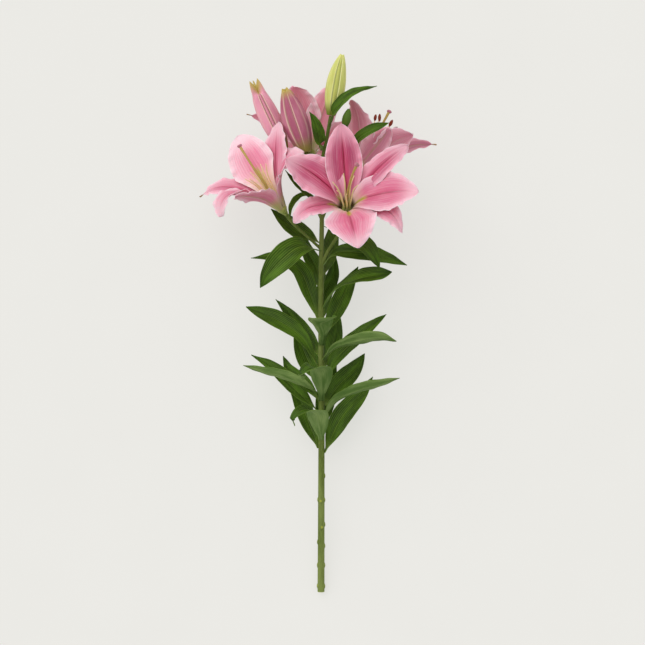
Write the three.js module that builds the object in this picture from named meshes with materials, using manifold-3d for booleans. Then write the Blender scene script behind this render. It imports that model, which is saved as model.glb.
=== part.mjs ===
// A cut oriental lily laid on a table: one stalk with its flower stems, leaves all round it,
// four open blooms and four buds. Millimetres and degrees.
//
// The plant's own frame has y along the stalk from the cut end to the head, x across and z to the
// side that looks up. The whole plant then leans on the table: its cut end and the petals at its
// back touch it.

import * as THREE from 'three';
import { mergeVertices } from 'three/addons/utils/BufferGeometryUtils.js';
import Module from 'manifold-3d';

const wasm = await Module();
wasm.setup();

// ---------------------------------------------------------------- driving dimensions

const RISE = 9; // lean of the stalk above the table
const BEND = 6; // height over which a petal or leaf bends flat onto the table
const GAP = 0.35; // between pieces that touch

const STALK_SIDES = 12;
const STALK_STEPS = 20;
const STEM_SIDES = 6;
const STEM_STEPS = 6;
const NECK = 8; // straight stretch of a flower stem below its bloom or bud

const BLADE_ROWS = 7; // faces along a leaf or petal
const BLADE_COLUMNS = 4; // and across it
const SUBSTEPS = 10; // steps in following a petal's bend from one row to the next
const TIP_WIDTH = 1.2;
const LEAF_THICKNESS = 0.9;
const LEAF_FOOT = 0.26; // width where a leaf leaves the stalk, as a share of its widest
const LEAF_BLUNT = 0.85; // how blunt a leaf ends
const LEAF_FOLD = 0.32; // rise of a leaf's edges over its midrib, as a share of its half width
const FACE_TURN = 0.32; // share of a leaf in which it turns from its foot to the way it looks
const LEAF_WAVE = 1.2; // height of the waves in a leaf's edges
const LEAF_WAVES = 1.3; // and how many there are along it

const PETAL_THICKNESS = 1.0;
const PETAL_LENGTH = 118;
const INNER = { width: 49, foot: 0.2, blunt: 0.56, lean: 0, step: -0.5 };
const OUTER = { width: 33, foot: 0.26, blunt: 0.6, lean: 6, step: 0.5 };
const TAPER = 2; // how much sharper a blade ends for being widest nearer its foot
const FUNNEL_RADIUS = 6; // at the foot of the petals, give or take the step of each layer
const FOOT_WRAP = 0.95; // most a petal wraps round the axis to a side, as a share of its distance
const CURLS = [0.5, 1]; // stretch of a petal over which its tip curls back
const FLATTENS = [0.15, 0.6]; // and over which it turns from a gutter to a nearly flat blade
const BLADE_BEND = 0.008; // cross bend of the flat stretch, as one over its radius
const PETAL_WAVE = 2.2; // height of the waves in a petal's edges
const PETAL_WAVES = 1.6; // and how many there are along it
const WAVES_FROM = [0.3, 0.6];
const RECEPTACLE_SIDES = 10;
const RECEPTACLE = [[-10, 2.9], [-6, 4.6], [-1, 7.2], [1.2, 6.9]]; // along the axis, radius
const FLOOR = RECEPTACLE.at(-1)[0] + GAP; // foot of the stamens and pistil on the receptacle

const RING_INNER = 2.6;
const RING_OUTER = 4.3;
const RING_HEIGHT = 3;
const FILAMENT_RADIUS = 0.9;
const ANTHER_LENGTH = 10;
const ANTHER_RADIUS = 2.2;
const ANTHER_LEAN = [0.35, 0.94]; // out from the bloom's axis and along it
const FIRST_STAMEN = 30; // place of the first of six, round the axis from the way the pistil bends
const PISTIL_REACH = 90;
const PISTIL_BENDS = [0.03, 0.3, 0.66, 1]; // share of its bend at the way points of the style
const OVARY_LENGTH = 17;
const OVARY_RADIUS = 2.2;
const STYLE_RADIUS = 1.4;
const STIGMA_RADIUS = 3.1;

// Stalk: x, y, z and radius at each way point. It runs on into the stem of the green bud.
const STALK = [
  [0, 0, 0, 4.6],
  [0.4, 120, 0, 4.3],
  [0.6, 240, 0, 4.0],
  [0, 340, 0, 3.7],
  [0.4, 430, 0, 3.5],
  [1, 480, -2, 3.0],
  [1.3, 560, -4, 2.3],
  [6.5, 585, -2, 2.1],
  [13, 619, 2, 2.7],
];

// Cushions left by the lower leaves: height on the stalk and side, 0 right, 90 up, 180 left.
const SCARS = [
  [8, 160], [8, 15], [35, 172], [35, 8], [60, 5], [65, 175], [88, 10],
  [84, 80], [120, 165], [120, 20], [118, 100], [151, 10],
];
const SCAR_SIZE = [1.6, 3.6, 2.8]; // out from the stalk, along it and across
const SCAR_SLANT = 14;
const SCAR_DEPTH = 0.5; // of its middle below the skin

// Flower stems: way points from inside the stalk. Each goes on to the foot of its bloom or bud.
const FLOWER_STEMS = {
  front: [[1, 424, 0, 2.2], [8, 441, 6, 2.2], [22, 463, 11, 2.3]],
  left: [[0, 446, 0, 2.1], [-10, 455, 2, 1.9], [-30, 473, -4, 2.0]],
  right: [[1, 484, -2, 2.2], [9, 502, -7, 2.1], [24, 521, -10, 2.2]],
  back: [[1, 505, -3, 2.2], [0, 526, -8, 2.1], [-8, 547, -10, 2.2]],
  bud_pink_1: [[1, 484, -2, 2.0], [-12, 512, -20, 1.8], [-30, 546, -30, 1.9]],
  bud_pink_2: [[1, 512, -3, 2.0], [-4, 530, -2, 1.8], [-10, 548, -5, 1.9]],
  bud_small: [[1.3, 556, -4, 1.6], [10, 572, 2, 1.4], [20, 584, 8, 1.4]],
};

// Leaves on the stalk: the height and side where each leaves it, its width, how far along it is
// widest, which way its upper face looks in the middle and at the tip (0 to the head, 90 up, -90
// down), and the way to its tip.
const LEAVES = {
  leaf_01: [181, 0, 27, 0.48, [52, 62], [[26, 225, -8], [53, 257, -16], [68, 279, -22]]],
  leaf_02: [187, 194, 23, 0.5, [60, 65], [[-16, 219, -13], [-29, 251, -21], [-44, 274, -26]]],
  leaf_03: [198, 95, 29, 0.5, [0, 24], [
    [-3, 220, 28], [-9, 237, 50], [-24, 238, 66], [-35, 229, 70], [-33, 220, 66],
  ]],
  leaf_04: [212, 262, 26, 0.45, [80, 85], [[4, 236, -26], [10, 270, -40], [20, 306, -50]]],
  leaf_05: [228, 14, 20, 0.5, [-24, -50], [
    [17, 248, 12], [46, 263, 22], [78, 272, 26], [101, 279, 24],
  ]],
  leaf_06: [234, 200, 21, 0.45, [50, 62], [[-35, 265, -2], [-63, 292, -4], [-91, 308, -10]]],
  leaf_07: [242, 330, 27, 0.5, [65, 75], [[22, 266, -26], [45, 290, -40], [58, 309, -48]]],
  leaf_08: [249, 92, 31, 0.6, [0, 16], [
    [1, 271, 34], [-3, 291, 54], [-14, 292, 70], [-24, 285, 74], [-22, 278, 68],
  ]],
  leaf_09: [258, 170, 19, 0.5, [-25, -50], [
    [-22, 270, 16], [-48, 281, 22], [-76, 288, 22], [-100, 295, 18],
  ]],
  leaf_10: [249, 208, 17, 0.5, [70, 75], [[-22, 272, -16], [-41, 288, -26], [-50, 306, -34]]],
  leaf_11: [272, 12, 22, 0.5, [45, 60], [[20, 304, 2], [51, 334, 2], [85, 361, -6]]],
  leaf_12: [272, 250, 28, 0.45, [75, 80], [[-17, 300, -38], [-28, 326, -52], [-34, 350, -56]]],
  leaf_13: [292, 190, 24, 0.6, [48, 75], [[-24, 330, -2], [-54, 352, -4], [-98, 371, -10]]],
  leaf_14: [302, 24, 21, 0.6, [-48, -42], [[17, 318, 17], [48, 327, 26], [74, 331, 27], [97, 326, 22]]],
  leaf_15: [307, 232, 21, 0.45, [70, 75], [[-22, 336, -36], [-44, 364, -38], [-60, 381, -42]]],
  leaf_16: [321, 82, 34, 0.7, [0, 10], [[3, 338, 30], [0, 350, 50], [8, 353, 66], [20, 358, 72]]],
  leaf_17: [333, 345, 24, 0.5, [60, 70], [[21, 368, -15], [36, 400, -28], [49, 424, -34]]],
  leaf_18: [353, 276, 24, 0.45, [80, 85], [[3, 388, -51], [16, 414, -60], [18, 446, -66]]],
  leaf_19: [354, 198, 24, 0.45, [58, 62], [
    [-14, 387, -12], [-28, 419, -18], [-55, 435, -18], [-92, 435, -22],
  ]],
  leaf_20: [370, 8, 24, 0.68, [-5, 78], [[18, 393, 8], [47, 407, 14], [92, 416, 6]]],
  leaf_21: [394, 258, 22, 0.45, [80, 85], [[-7, 424, -50], [-19, 448, -58], [-26, 478, -64]]],
  leaf_22: [290, 300, 24, 0.45, [80, 85], [[14, 318, -36], [20, 346, -52], [22, 372, -58]]],
  leaf_23: [425, 15, 23, 0.5, [76, 60], [[16, 440, 4], [52, 441, 8], [84, 434, 2], [112, 425, -6]]],
  leaf_24: [444, 158, 34, 0.5, [62, 78], [
    [-27, 448, 20], [-51, 430, 32], [-67, 412, 34], [-78, 395, 30],
  ]],
  leaf_25: [454, 205, 25, 0.45, [62, 65], [[-30, 470, -18], [-50, 486, -26], [-66, 500, -32]]],
  leaf_26: [410, 280, 22, 0.45, [80, 85], [[10, 440, -40], [16, 472, -62], [20, 500, -70]]],
  leaf_27: [476, 330, 24, 0.55, [60, 68], [[30, 464, 1], [60, 447, 18], [76, 421, 12]]],
};

// Small leaves between the flower stems: foot, width, how far along it is widest, which way they
// look, and the way to the tip.
const BRACTS = {
  bract_1: [[10.8, 606, 4.2], 14, 0.45, [50, 60], [[20, 628, 18], [41, 646, 22], [72, 655, 20]]],
  bract_2: [[1.2, 574, -0.7], 16, 0.45, [60, 70], [[-4, 598, 14], [-9, 612, 18], [-15, 622, 19]]],
  bract_3: [[26.6, 524.4, -5.4], 14, 0.74, [60, 70], [
    [36, 551, 5], [45, 584, 19], [62, 597, 26], [87, 607, 24],
  ]],
  bract_4: [[-2.6, 500, -1.2], 9, 0.45, [60, 60], [
    [-13, 512, 7], [-25, 523, 14], [-36, 534, 16], [-46, 547, 14],
  ]],
  bract_5: [[-2.6, 509, -3.7], 9, 0.45, [40, 60], [
    [-14, 516, 0], [-28, 514, 6], [-39, 500, 10], [-40, 484, 10],
  ]],
};

// Blooms: the foot of the petals, the way the bloom looks, how far its petals lean at the foot and
// the stretch over which they open, where its pistil ends aside of the axis, how far its stamens
// reach along the axis and stand out from it, and its petals. Each petal has its place round the
// axis, how far it opens, how far its tip curls back, how it sways aside and twists, its length and
// width as shares of a whole one, and how far along it is widest.
const BLOOMS = {
  front: {
    foot: [33, 497, 30],
    axis: [-0.04, 0.5, 0.86],
    lean: 32,
    opens: [0.04, 0.42],
    pistil: [15, 4],
    stamens: [56, 12],
    inner: [
      { place: 142, open: 66, curl: 4, sway: 9, twist: 8, long: 0.83, wide: 1.16, widest: 0.56 },
      { place: 280, open: 70, curl: 36, sway: 2, twist: 0, long: 0.72, wide: 1.42, widest: 0.42 },
      { place: 3, open: 68, curl: 14, sway: -6, twist: -6, long: 0.85, wide: 1.22, widest: 0.55 },
    ],
    outer: [
      { place: 94, open: 51, curl: 22, sway: 1, twist: 0, long: 0.88, wide: 1.46, widest: 0.5 },
      { place: 188, open: 80, curl: 56, sway: 14, twist: 0, long: 0.64, wide: 0.95, widest: 0.5 },
      { place: 345, open: 72, curl: 56, sway: -20, twist: 0, long: 0.78, wide: 0.95, widest: 0.5 },
      { place: 44, open: 64, curl: 14, sway: -6, twist: 0, long: 0.92, wide: 1.0, widest: 0.55 },
    ],
    anthers: false,
  },
  left: {
    foot: [-51, 499, -4],
    axis: [-0.56, 0.74, 0.36],
    lean: 16,
    opens: [0.1, 0.5],
    pistil: [-34, 22],
    stamens: [62, 13],
    inner: [
      { place: 148, open: 40, curl: 10, sway: -3, twist: 0, long: 1.0, wide: 1.27, widest: 0.55 },
      { place: 259, open: 40, curl: 106, sway: 0, twist: 0, long: 0.92, wide: 1.32, widest: 0.56 },
      { place: 56, open: 46, curl: 70, sway: 0, twist: 0, long: 0.76, wide: 1.32, widest: 0.56 },
    ],
    outer: [
      { place: 99, open: 44, curl: 12, sway: -1, twist: 6, long: 0.95, wide: 1.34, widest: 0.66 },
      { place: 203, open: 52, curl: 50, sway: 4, twist: 0, long: 1.03, wide: 1.2, widest: 0.5 },
      { place: 302, open: 50, curl: 12, sway: 0, twist: 0, long: 0.84, wide: 1.2, widest: 0.5 },
    ],
    anthers: false,
  },
  right: {
    foot: [44, 548, -16],
    axis: [0.5, 0.82, -0.28],
    lean: 15,
    opens: [0.12, 0.55],
    pistil: [-16, 10],
    stamens: [81, 11],
    inner: [
      { place: 104, open: 44, curl: 30, sway: 0, twist: 0, long: 0.81, wide: 1.0, widest: 0.52 },
      { place: 207, open: 30, curl: 24, sway: 0, twist: 0, long: 0.76, wide: 1.05, widest: 0.54 },
      { place: 325, open: 58, curl: 34, sway: 0, twist: 0, long: 0.94, wide: 1.0, widest: 0.52 },
    ],
    outer: [
      { place: 172, open: 26, curl: 6, sway: 0, twist: 0, long: 0.6, wide: 1.1, widest: 0.5 },
      { place: 246, open: 32, curl: 30, sway: 0, twist: -40, long: 1.0, wide: 1.0, widest: 0.5 },
      { place: 30, open: 34, curl: 16, sway: 0, twist: 0, long: 0.88, wide: 1.0, widest: 0.5 },
    ],
    anthers: true,
  },
  back: {
    foot: [-14, 573, -26],
    axis: [0, 0.62, -0.78],
    lean: 15,
    opens: [0.16, 0.66],
    pistil: [0, 16],
    stamens: [62, 16],
    inner: [
      { place: 72, open: 62, curl: 34, sway: 0, twist: 0, long: 0.84, wide: 0.95, widest: 0.52 },
      { place: 190, open: 48, curl: 24, sway: 0, twist: 0, long: 0.82, wide: 0.9, widest: 0.52 },
      { place: 300, open: 62, curl: 34, sway: 0, twist: 0, long: 0.92, wide: 1.0, widest: 0.52 },
    ],
    outer: [
      { place: 116, open: 56, curl: 34, sway: 0, twist: 0, long: 0.9, wide: 1.25, widest: 0.5 },
      { place: 242, open: 62, curl: 40, sway: 0, twist: 0, long: 0.92, wide: 1.0, widest: 0.5 },
      { place: 14, open: 64, curl: 24, sway: 0, twist: 0, long: 0.96, wide: 1.0, widest: 0.5 },
    ],
    anthers: true,
  },
};

// Buds: foot, widest radius and the way to the tip.
const BUDS = {
  bud_pink_1: [[-48.5, 579, -34], 14, [[-60, 604, -34], [-77, 640, -32], [-89.5, 670, -30]]],
  bud_pink_2: [[-19.5, 572, -7], 17, [[-27, 596, -8], [-38, 628, -6], [-47, 656, -4]]],
  bud_green: [[13.05, 619.35, 2.04], 12.6, [[17, 645, 5], [22, 674, 7], [27.5, 698, 6]]],
  bud_small: [[30.5, 602.5, 13], 5.6, [[32, 609, 15], [34, 617, 17], [36, 626, 18]]],
};
const BUD_RINGS = 10;
const BUD_SIDES = 12;
const BUD_SEAM = 0.05; // depth of the three seams between its outer petals, as a share
const BUD_END = 0.7; // radius at its very tip
const BUD_STEM = [1.2, 0.09]; // radius of a stem under a bud: the least, and a share of the bud's

const COLOURS = {
  stem: 0x6f8a45,
  leaf: 0x3f6a35,
  petal: 0xe9a3bd,
  filament: 0xd5d99a,
  pistil: 0xc9cf97,
  budPink: 0xd98aa8,
  budGreen: 0xb9c06a,
};

// ---------------------------------------------------------------- tools

const rad = THREE.MathUtils.degToRad;
const mix = THREE.MathUtils.lerp;
const ease = (x, [from, to] = [0, 1]) => THREE.MathUtils.smoothstep(x, from, to);
const vec = (list) => new THREE.Vector3(list[0], list[1], list[2]);
const smoothCurve = (points) => new THREE.CatmullRomCurve3(points, false, 'centripetal');
const sideways = (side) => vec([Math.cos(rad(side)), 0, Math.sin(rad(side))]);

// A number read along a list of values spread evenly over 0 to 1.
function along(values, t) {
  const place = THREE.MathUtils.clamp(t, 0, 1) * (values.length - 1);
  const i = Math.min(Math.floor(place), values.length - 2);
  return mix(values[i], values[i + 1], place - i);
}

const UP = new THREE.Vector3(0, Math.sin(rad(RISE)), Math.cos(rad(RISE))); // away from the table
const CUT_HEIGHT = STALK[0][3] * Math.cos(rad(RISE)); // of the cut end's middle over the table

// A point of a thin sheet, bent onto the table where it would lie lower than the table's top.
function onTable(point, thickness) {
  const height = point.dot(UP) + CUT_HEIGHT - thickness / 2;
  if (height >= BEND) return point;
  const rest = height <= -BEND ? 0 : (height + BEND) ** 2 / (4 * BEND);
  return point.addScaledVector(UP, rest - height);
}

function geometryOf(positions, index) {
  const geometry = new THREE.BufferGeometry();
  geometry.setAttribute('position', new THREE.Float32BufferAttribute(positions, 3));
  geometry.setIndex(index);
  return geometry;
}

// A ring of points about the middle, in the plane of the two unit vectors.
function ringOf(middle, first, second, sides, radius) {
  return Array.from({ length: sides }, (_, k) => {
    const angle = (k / sides) * 2 * Math.PI;
    const out = first.clone().multiplyScalar(Math.cos(angle));
    out.addScaledVector(second, Math.sin(angle));
    return middle.clone().addScaledVector(out, radius(angle));
  });
}

// A closed body through rings of points, with a flat cap at each end.
function loft(rings) {
  const sides = rings[0].length;
  const positions = rings.flat().flatMap((p) => [p.x, p.y, p.z]);
  const index = [];
  for (let i = 0; i < rings.length - 1; i += 1) {
    for (let k = 0; k < sides; k += 1) {
      const a = i * sides + k;
      const b = i * sides + ((k + 1) % sides);
      index.push(a, b, b + sides, a, b + sides, a + sides);
    }
  }
  const last = (rings.length - 1) * sides;
  for (let k = 1; k < sides - 1; k += 1) {
    index.push(0, k + 1, k, last, last + k, last + k + 1);
  }
  return geometryOf(positions, index);
}

// A body along a curve, with radius(u, angle) round it.
function tapered(curve, steps, sides, radius) {
  const { normals, binormals } = curve.computeFrenetFrames(steps, false);
  const rings = normals.map((normal, i) => {
    const u = i / steps;
    return ringOf(curve.getPointAt(u), normal, binormals[i], sides, (angle) => radius(u, angle));
  });
  return loft(rings);
}

// A round bar along way points, each with its own radius.
function bar(points, steps, sides) {
  const curve = smoothCurve(points.map(vec));
  const radii = points.map((p) => p[3]);
  return tapered(curve, steps, sides, (u) => along(radii, curve.getUtoTmapping(u)));
}

// A closed sheet of even thickness about rows of points. Both faces are split into triangles
// alike, so that a waved sheet never crosses itself.
function sheet(rows, thickness) {
  const lastRow = rows.length - 1;
  const lastColumn = rows[0].length - 1;
  const positions = [];
  for (const half of [thickness / 2, -thickness / 2]) {
    rows.forEach((row, i) => row.forEach((point, j) => {
      const forward = rows[Math.min(i + 1, lastRow)][j].clone().sub(rows[Math.max(i - 1, 0)][j]);
      const across = row[Math.min(j + 1, lastColumn)].clone().sub(row[Math.max(j - 1, 0)]);
      const out = across.cross(forward).normalize().multiplyScalar(half).add(point);
      positions.push(out.x, out.y, out.z);
    }));
  }
  const columns = lastColumn + 1;
  const under = rows.length * columns;
  const index = [];
  for (let i = 0; i < lastRow; i += 1) {
    for (let j = 0; j < lastColumn; j += 1) {
      const a = i * columns + j;
      const b = a + 1;
      const c = b + columns;
      const d = a + columns;
      index.push(a, b, c, a, c, d);
      index.push(a + under, c + under, b + under, a + under, d + under, c + under);
    }
  }
  const rim = [];
  for (let j = 0; j < lastColumn; j += 1) rim.push(j);
  for (let i = 0; i < lastRow; i += 1) rim.push(i * columns + lastColumn);
  for (let j = lastColumn; j > 0; j -= 1) rim.push(lastRow * columns + j);
  for (let i = lastRow; i > 0; i -= 1) rim.push(i * columns);
  rim.forEach((a, k) => {
    const b = rim[(k + 1) % rim.length];
    index.push(a + under, b + under, b, a + under, b, a);
  });
  return geometryOf(positions, index);
}

// One body from several closed ones that overlap.
function fused(geometries) {
  const solids = geometries.map((geometry) => {
    const bare = geometry.clone();
    bare.deleteAttribute('normal');
    bare.deleteAttribute('uv');
    const merged = mergeVertices(bare, 1e-4);
    return new wasm.Manifold(new wasm.Mesh({
      numProp: 3,
      vertProperties: new Float32Array(merged.attributes.position.array),
      triVerts: new Uint32Array(merged.index.array),
    }));
  });
  const mesh = solids.reduce((whole, next) => whole.add(next)).getMesh();
  return geometryOf(Array.from(mesh.vertProperties), Array.from(mesh.triVerts));
}

function piece(name, geometry, colour, roughness) {
  const material = new THREE.MeshStandardMaterial({ color: colour, roughness, metalness: 0 });
  const mesh = new THREE.Mesh(geometry, material);
  mesh.name = name;
  return mesh;
}

// ---------------------------------------------------------------- stalk and flower stems

// Where each flower stem ends: the foot of its bloom or bud, its axis there and its radius.
const STEM_ENDS = {};
for (const [name, { foot, axis }] of Object.entries(BLOOMS)) {
  const direction = vec(axis).normalize();
  const [below, radius] = RECEPTACLE[0];
  STEM_ENDS[name] = [vec(foot).addScaledVector(direction, below), direction, radius];
}
for (const [name, [foot, radius, way]] of Object.entries(BUDS)) {
  const direction = vec(way[0]).sub(vec(foot)).normalize();
  STEM_ENDS[name] = [vec(foot), direction, BUD_STEM[0] + BUD_STEM[1] * radius];
}

function flowerStem([name, way]) {
  const [end, direction, radius] = STEM_ENDS[name];
  const neck = [GAP + NECK, GAP].map((back) => {
    const point = end.clone().addScaledVector(direction, -back);
    return [point.x, point.y, point.z, radius];
  });
  return bar([...way, ...neck], STEM_STEPS, STEM_SIDES);
}

const stalkCurve = smoothCurve(STALK.map(vec));

// The stalk's middle and radius at a height along it.
function stalkAt(height) {
  const i = Math.max(STALK.findIndex((p) => p[1] > height), 1);
  const share = (height - STALK[i - 1][1]) / (STALK[i][1] - STALK[i - 1][1]);
  const middle = stalkCurve.getPoint((i - 1 + share) / (STALK.length - 1));
  return { middle, radius: mix(STALK[i - 1][3], STALK[i][3], share) };
}

function scar([height, side]) {
  const { middle, radius } = stalkAt(height);
  const bump = new THREE.SphereGeometry(1, 6, 3);
  bump.scale(...SCAR_SIZE);
  bump.rotateX(rad(SCAR_SLANT));
  bump.rotateY(rad(-side));
  const centre = middle.addScaledVector(sideways(side), radius - SCAR_DEPTH);
  return bump.translate(centre.x, centre.y, centre.z);
}

function stem() {
  const stalk = bar(STALK, STALK_STEPS, STALK_SIDES);
  return fused([stalk, ...Object.entries(FLOWER_STEMS).map(flowerStem), ...SCARS.map(scar)]);
}

// ---------------------------------------------------------------- leaves

// Half width of a blade at t, with its widest place and how blunt its ends are.
function halfWidth(width, { foot, blunt }, widest, t) {
  const power = Math.log(0.5) / Math.log(widest);
  const sharp = blunt + TAPER * Math.max(0, 0.5 - widest);
  const swell = Math.sin(Math.PI * t ** power) ** sharp;
  const narrow = foot * (1 - ease(t / widest));
  return Math.max((width / 2) * Math.max(swell, narrow), TIP_WIDTH / 2);
}

const LEAF_SHAPE = { foot: LEAF_FOOT, blunt: LEAF_BLUNT };

function leaf(foot, width, widest, face, way) {
  const curve = smoothCurve([foot, ...way.map(vec)]);
  const rows = [];
  for (let i = 0; i <= BLADE_ROWS; i += 1) {
    const t = i / BLADE_ROWS;
    const forward = curve.getTangentAt(t);
    const turned = ease(t / FACE_TURN);
    const looks = rad(along(face, t) * turned);
    const out = vec([0, Math.cos(looks), Math.sin(looks)]).projectOnPlane(forward).normalize();
    const across = forward.clone().cross(out);
    const half = halfWidth(width, LEAF_SHAPE, widest, t);
    const row = [];
    for (let j = 0; j <= BLADE_COLUMNS; j += 1) {
      const v = (2 * j) / BLADE_COLUMNS - 1;
      const wave = LEAF_WAVE * Math.sin(2 * Math.PI * (LEAF_WAVES * t + v / 4));
      const point = curve.getPointAt(t).addScaledVector(across, half * v);
      point.addScaledVector(out, (half * LEAF_FOLD + wave * (1 - t)) * turned * v * v);
      row.push(onTable(point, LEAF_THICKNESS));
    }
    rows.push(row);
  }
  return sheet(rows, LEAF_THICKNESS);
}

function stalkLeaf([height, side, ...blade]) {
  const { middle, radius } = stalkAt(height);
  const foot = middle.addScaledVector(sideways(side), radius + GAP + LEAF_THICKNESS * 0.8);
  return leaf(foot, ...blade);
}

// ---------------------------------------------------------------- blooms

// Lean of a petal from the bloom's axis at t along it.
function petalLean({ open, curl }, layer, bloom, t) {
  const lean = bloom.lean + layer.lean;
  return rad(lean + (open - lean) * ease(t, bloom.opens) + curl * ease(t, CURLS));
}

// Rows of points of a petal, from the funnel to the tip.
function petalRows(petal, layer, bloom, place) {
  const step = (PETAL_LENGTH * petal.long) / BLADE_ROWS;
  const middle = new THREE.Vector2(FUNNEL_RADIUS + layer.step, 0); // out from the axis, along it
  const rows = [];
  for (let i = 0; i <= BLADE_ROWS; i += 1) {
    const t = i / BLADE_ROWS;
    const lean = petalLean(petal, layer, bloom, t);
    const round = rad(petal.place + petal.sway * t * t);
    const twist = rad(petal.twist * t);
    const outward = vec([Math.cos(round), Math.sin(round), 0]);
    const tangent = vec([-Math.sin(round), Math.cos(round), 0]);
    const inward = outward.clone().multiplyScalar(-Math.cos(lean)).setZ(Math.sin(lean));
    const across = tangent.clone().multiplyScalar(Math.cos(twist));
    across.addScaledVector(inward, Math.sin(twist));
    const out = inward.multiplyScalar(Math.cos(twist)).addScaledVector(tangent, -Math.sin(twist));
    const free = halfWidth(layer.width * petal.wide, layer, petal.widest, t);
    const half = Math.min(free, FOOT_WRAP * middle.x);
    const bow = mix(1 / middle.x, BLADE_BEND, ease(t, FLATTENS));
    const row = [];
    for (let j = 0; j <= BLADE_COLUMNS; j += 1) {
      const v = (2 * j) / BLADE_COLUMNS - 1;
      const phase = PETAL_WAVES * t + petal.place / 90 + v / 4;
      const wave = PETAL_WAVE * Math.sin(2 * Math.PI * phase) * ease(t, WAVES_FROM) * v * v;
      const point = outward.clone().multiplyScalar(middle.x).setZ(middle.y);
      point.addScaledVector(across, Math.sin(bow * half * v) / bow);
      point.addScaledVector(out, (1 - Math.cos(bow * half * v)) / bow + wave);
      row.push(onTable(point.applyMatrix4(place), PETAL_THICKNESS));
    }
    rows.push(row);
    for (let k = 0; k < SUBSTEPS; k += 1) {
      const next = petalLean(petal, layer, bloom, t + (k + 0.5) / SUBSTEPS / BLADE_ROWS);
      middle.add(new THREE.Vector2(Math.sin(next), Math.cos(next)).multiplyScalar(step / SUBSTEPS));
    }
  }
  return rows;
}

// The place of a bloom: its foot, its axis along z, and its y turned to the head.
function bloomPlace({ foot, axis }) {
  const z = vec(axis).normalize();
  const x = vec([0, 1, 0]).cross(z).normalize();
  return new THREE.Matrix4().makeBasis(x, z.clone().cross(x), z).setPosition(vec(foot));
}

function petals(bloom) {
  const place = bloomPlace(bloom);
  const [x, y] = [vec([1, 0, 0]), vec([0, 1, 0])];
  const receptacle = loft(RECEPTACLE.map(([height, radius]) => (
    ringOf(vec([0, 0, height]), x, y, RECEPTACLE_SIDES, () => radius)
  ))).applyMatrix4(place);
  const blade = (layer) => (petal) => (
    sheet(petalRows(petal, layer, bloom, place), PETAL_THICKNESS)
  );
  return fused([receptacle, ...bloom.outer.map(blade(OUTER)), ...bloom.inner.map(blade(INNER))]);
}

// Ring on the receptacle that the six stamens rise from.
function stamenRing() {
  const top = FLOOR + RING_HEIGHT;
  const profile = [
    [RING_INNER, FLOOR], [RING_OUTER, FLOOR], [RING_OUTER, top], [RING_INNER, top],
    [RING_INNER, FLOOR],
  ];
  const section = profile.map(([radius, height]) => new THREE.Vector2(radius, height));
  return new THREE.LatheGeometry(section, RECEPTACLE_SIDES).rotateX(Math.PI / 2);
}

// One stamen at an angle round the bloom's axis, with its anther on its end.
function stamen(round, { stamens: [reach, spread], anthers }) {
  const at = (out, height, radius) => [
    out * Math.cos(round), out * Math.sin(round), height, radius,
  ];
  const foot = (RING_INNER + RING_OUTER) / 2;
  const end = foot + spread;
  const filament = bar([
    at(foot, FLOOR + 0.5, 0.8),
    at(foot + 3, reach * 0.4, FILAMENT_RADIUS),
    at(end * 0.62, reach * 0.77, FILAMENT_RADIUS),
    at(end, reach, 0.6),
  ], 4, 4);
  if (!anthers) return [filament];
  const onAnther = (share, radius) => {
    const [out, up] = ANTHER_LEAN.map((lean) => (lean * share * ANTHER_LENGTH) / 2);
    return at(end + out, reach + up, radius);
  };
  const anther = bar([
    onAnther(-1, 0.8),
    onAnther(-0.4, ANTHER_RADIUS),
    onAnther(0.4, ANTHER_RADIUS),
    onAnther(1, 0.8),
  ], 3, 4);
  return [filament, anther];
}

function stamens(bloom) {
  const bend = Math.atan2(bloom.pistil[1], bloom.pistil[0]);
  const rounds = [0, 1, 2, 3, 4, 5].map((k) => bend + rad(FIRST_STAMEN + 60 * k));
  const parts = rounds.flatMap((round) => stamen(round, bloom));
  return fused([stamenRing(), ...parts]).applyMatrix4(bloomPlace(bloom));
}

function pistil(bloom) {
  const ovary = bar([
    [0, 0, FLOOR, OVARY_RADIUS * 0.9],
    [0, 0, FLOOR + OVARY_LENGTH / 2, OVARY_RADIUS],
    [0, 0, FLOOR + OVARY_LENGTH, STYLE_RADIUS],
  ], 3, 7);
  const heights = [FLOOR + OVARY_LENGTH - 2, PISTIL_REACH * 0.55, PISTIL_REACH * 0.82, PISTIL_REACH];
  const [x, y] = bloom.pistil;
  const style = bar(PISTIL_BENDS.map((bend, i) => (
    [x * bend, y * bend, heights[i], STYLE_RADIUS]
  )), 6, 5);
  const stigma = new THREE.SphereGeometry(STIGMA_RADIUS, 8, 5).scale(1, 1, 0.8);
  stigma.translate(x, y, PISTIL_REACH);
  return fused([ovary, style, stigma]).applyMatrix4(bloomPlace(bloom));
}

// ---------------------------------------------------------------- buds

function bud([foot, radius, way]) {
  const curve = smoothCurve([foot, ...way].map(vec));
  return tapered(curve, BUD_RINGS, BUD_SIDES, (u, angle) => {
    const swell = Math.sin(Math.PI * (0.09 + 0.87 * u) ** 0.95) ** 0.75;
    return Math.max(radius * swell * (1 + BUD_SEAM * Math.cos(3 * angle)), BUD_END);
  });
}

// ---------------------------------------------------------------- the plant

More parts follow.
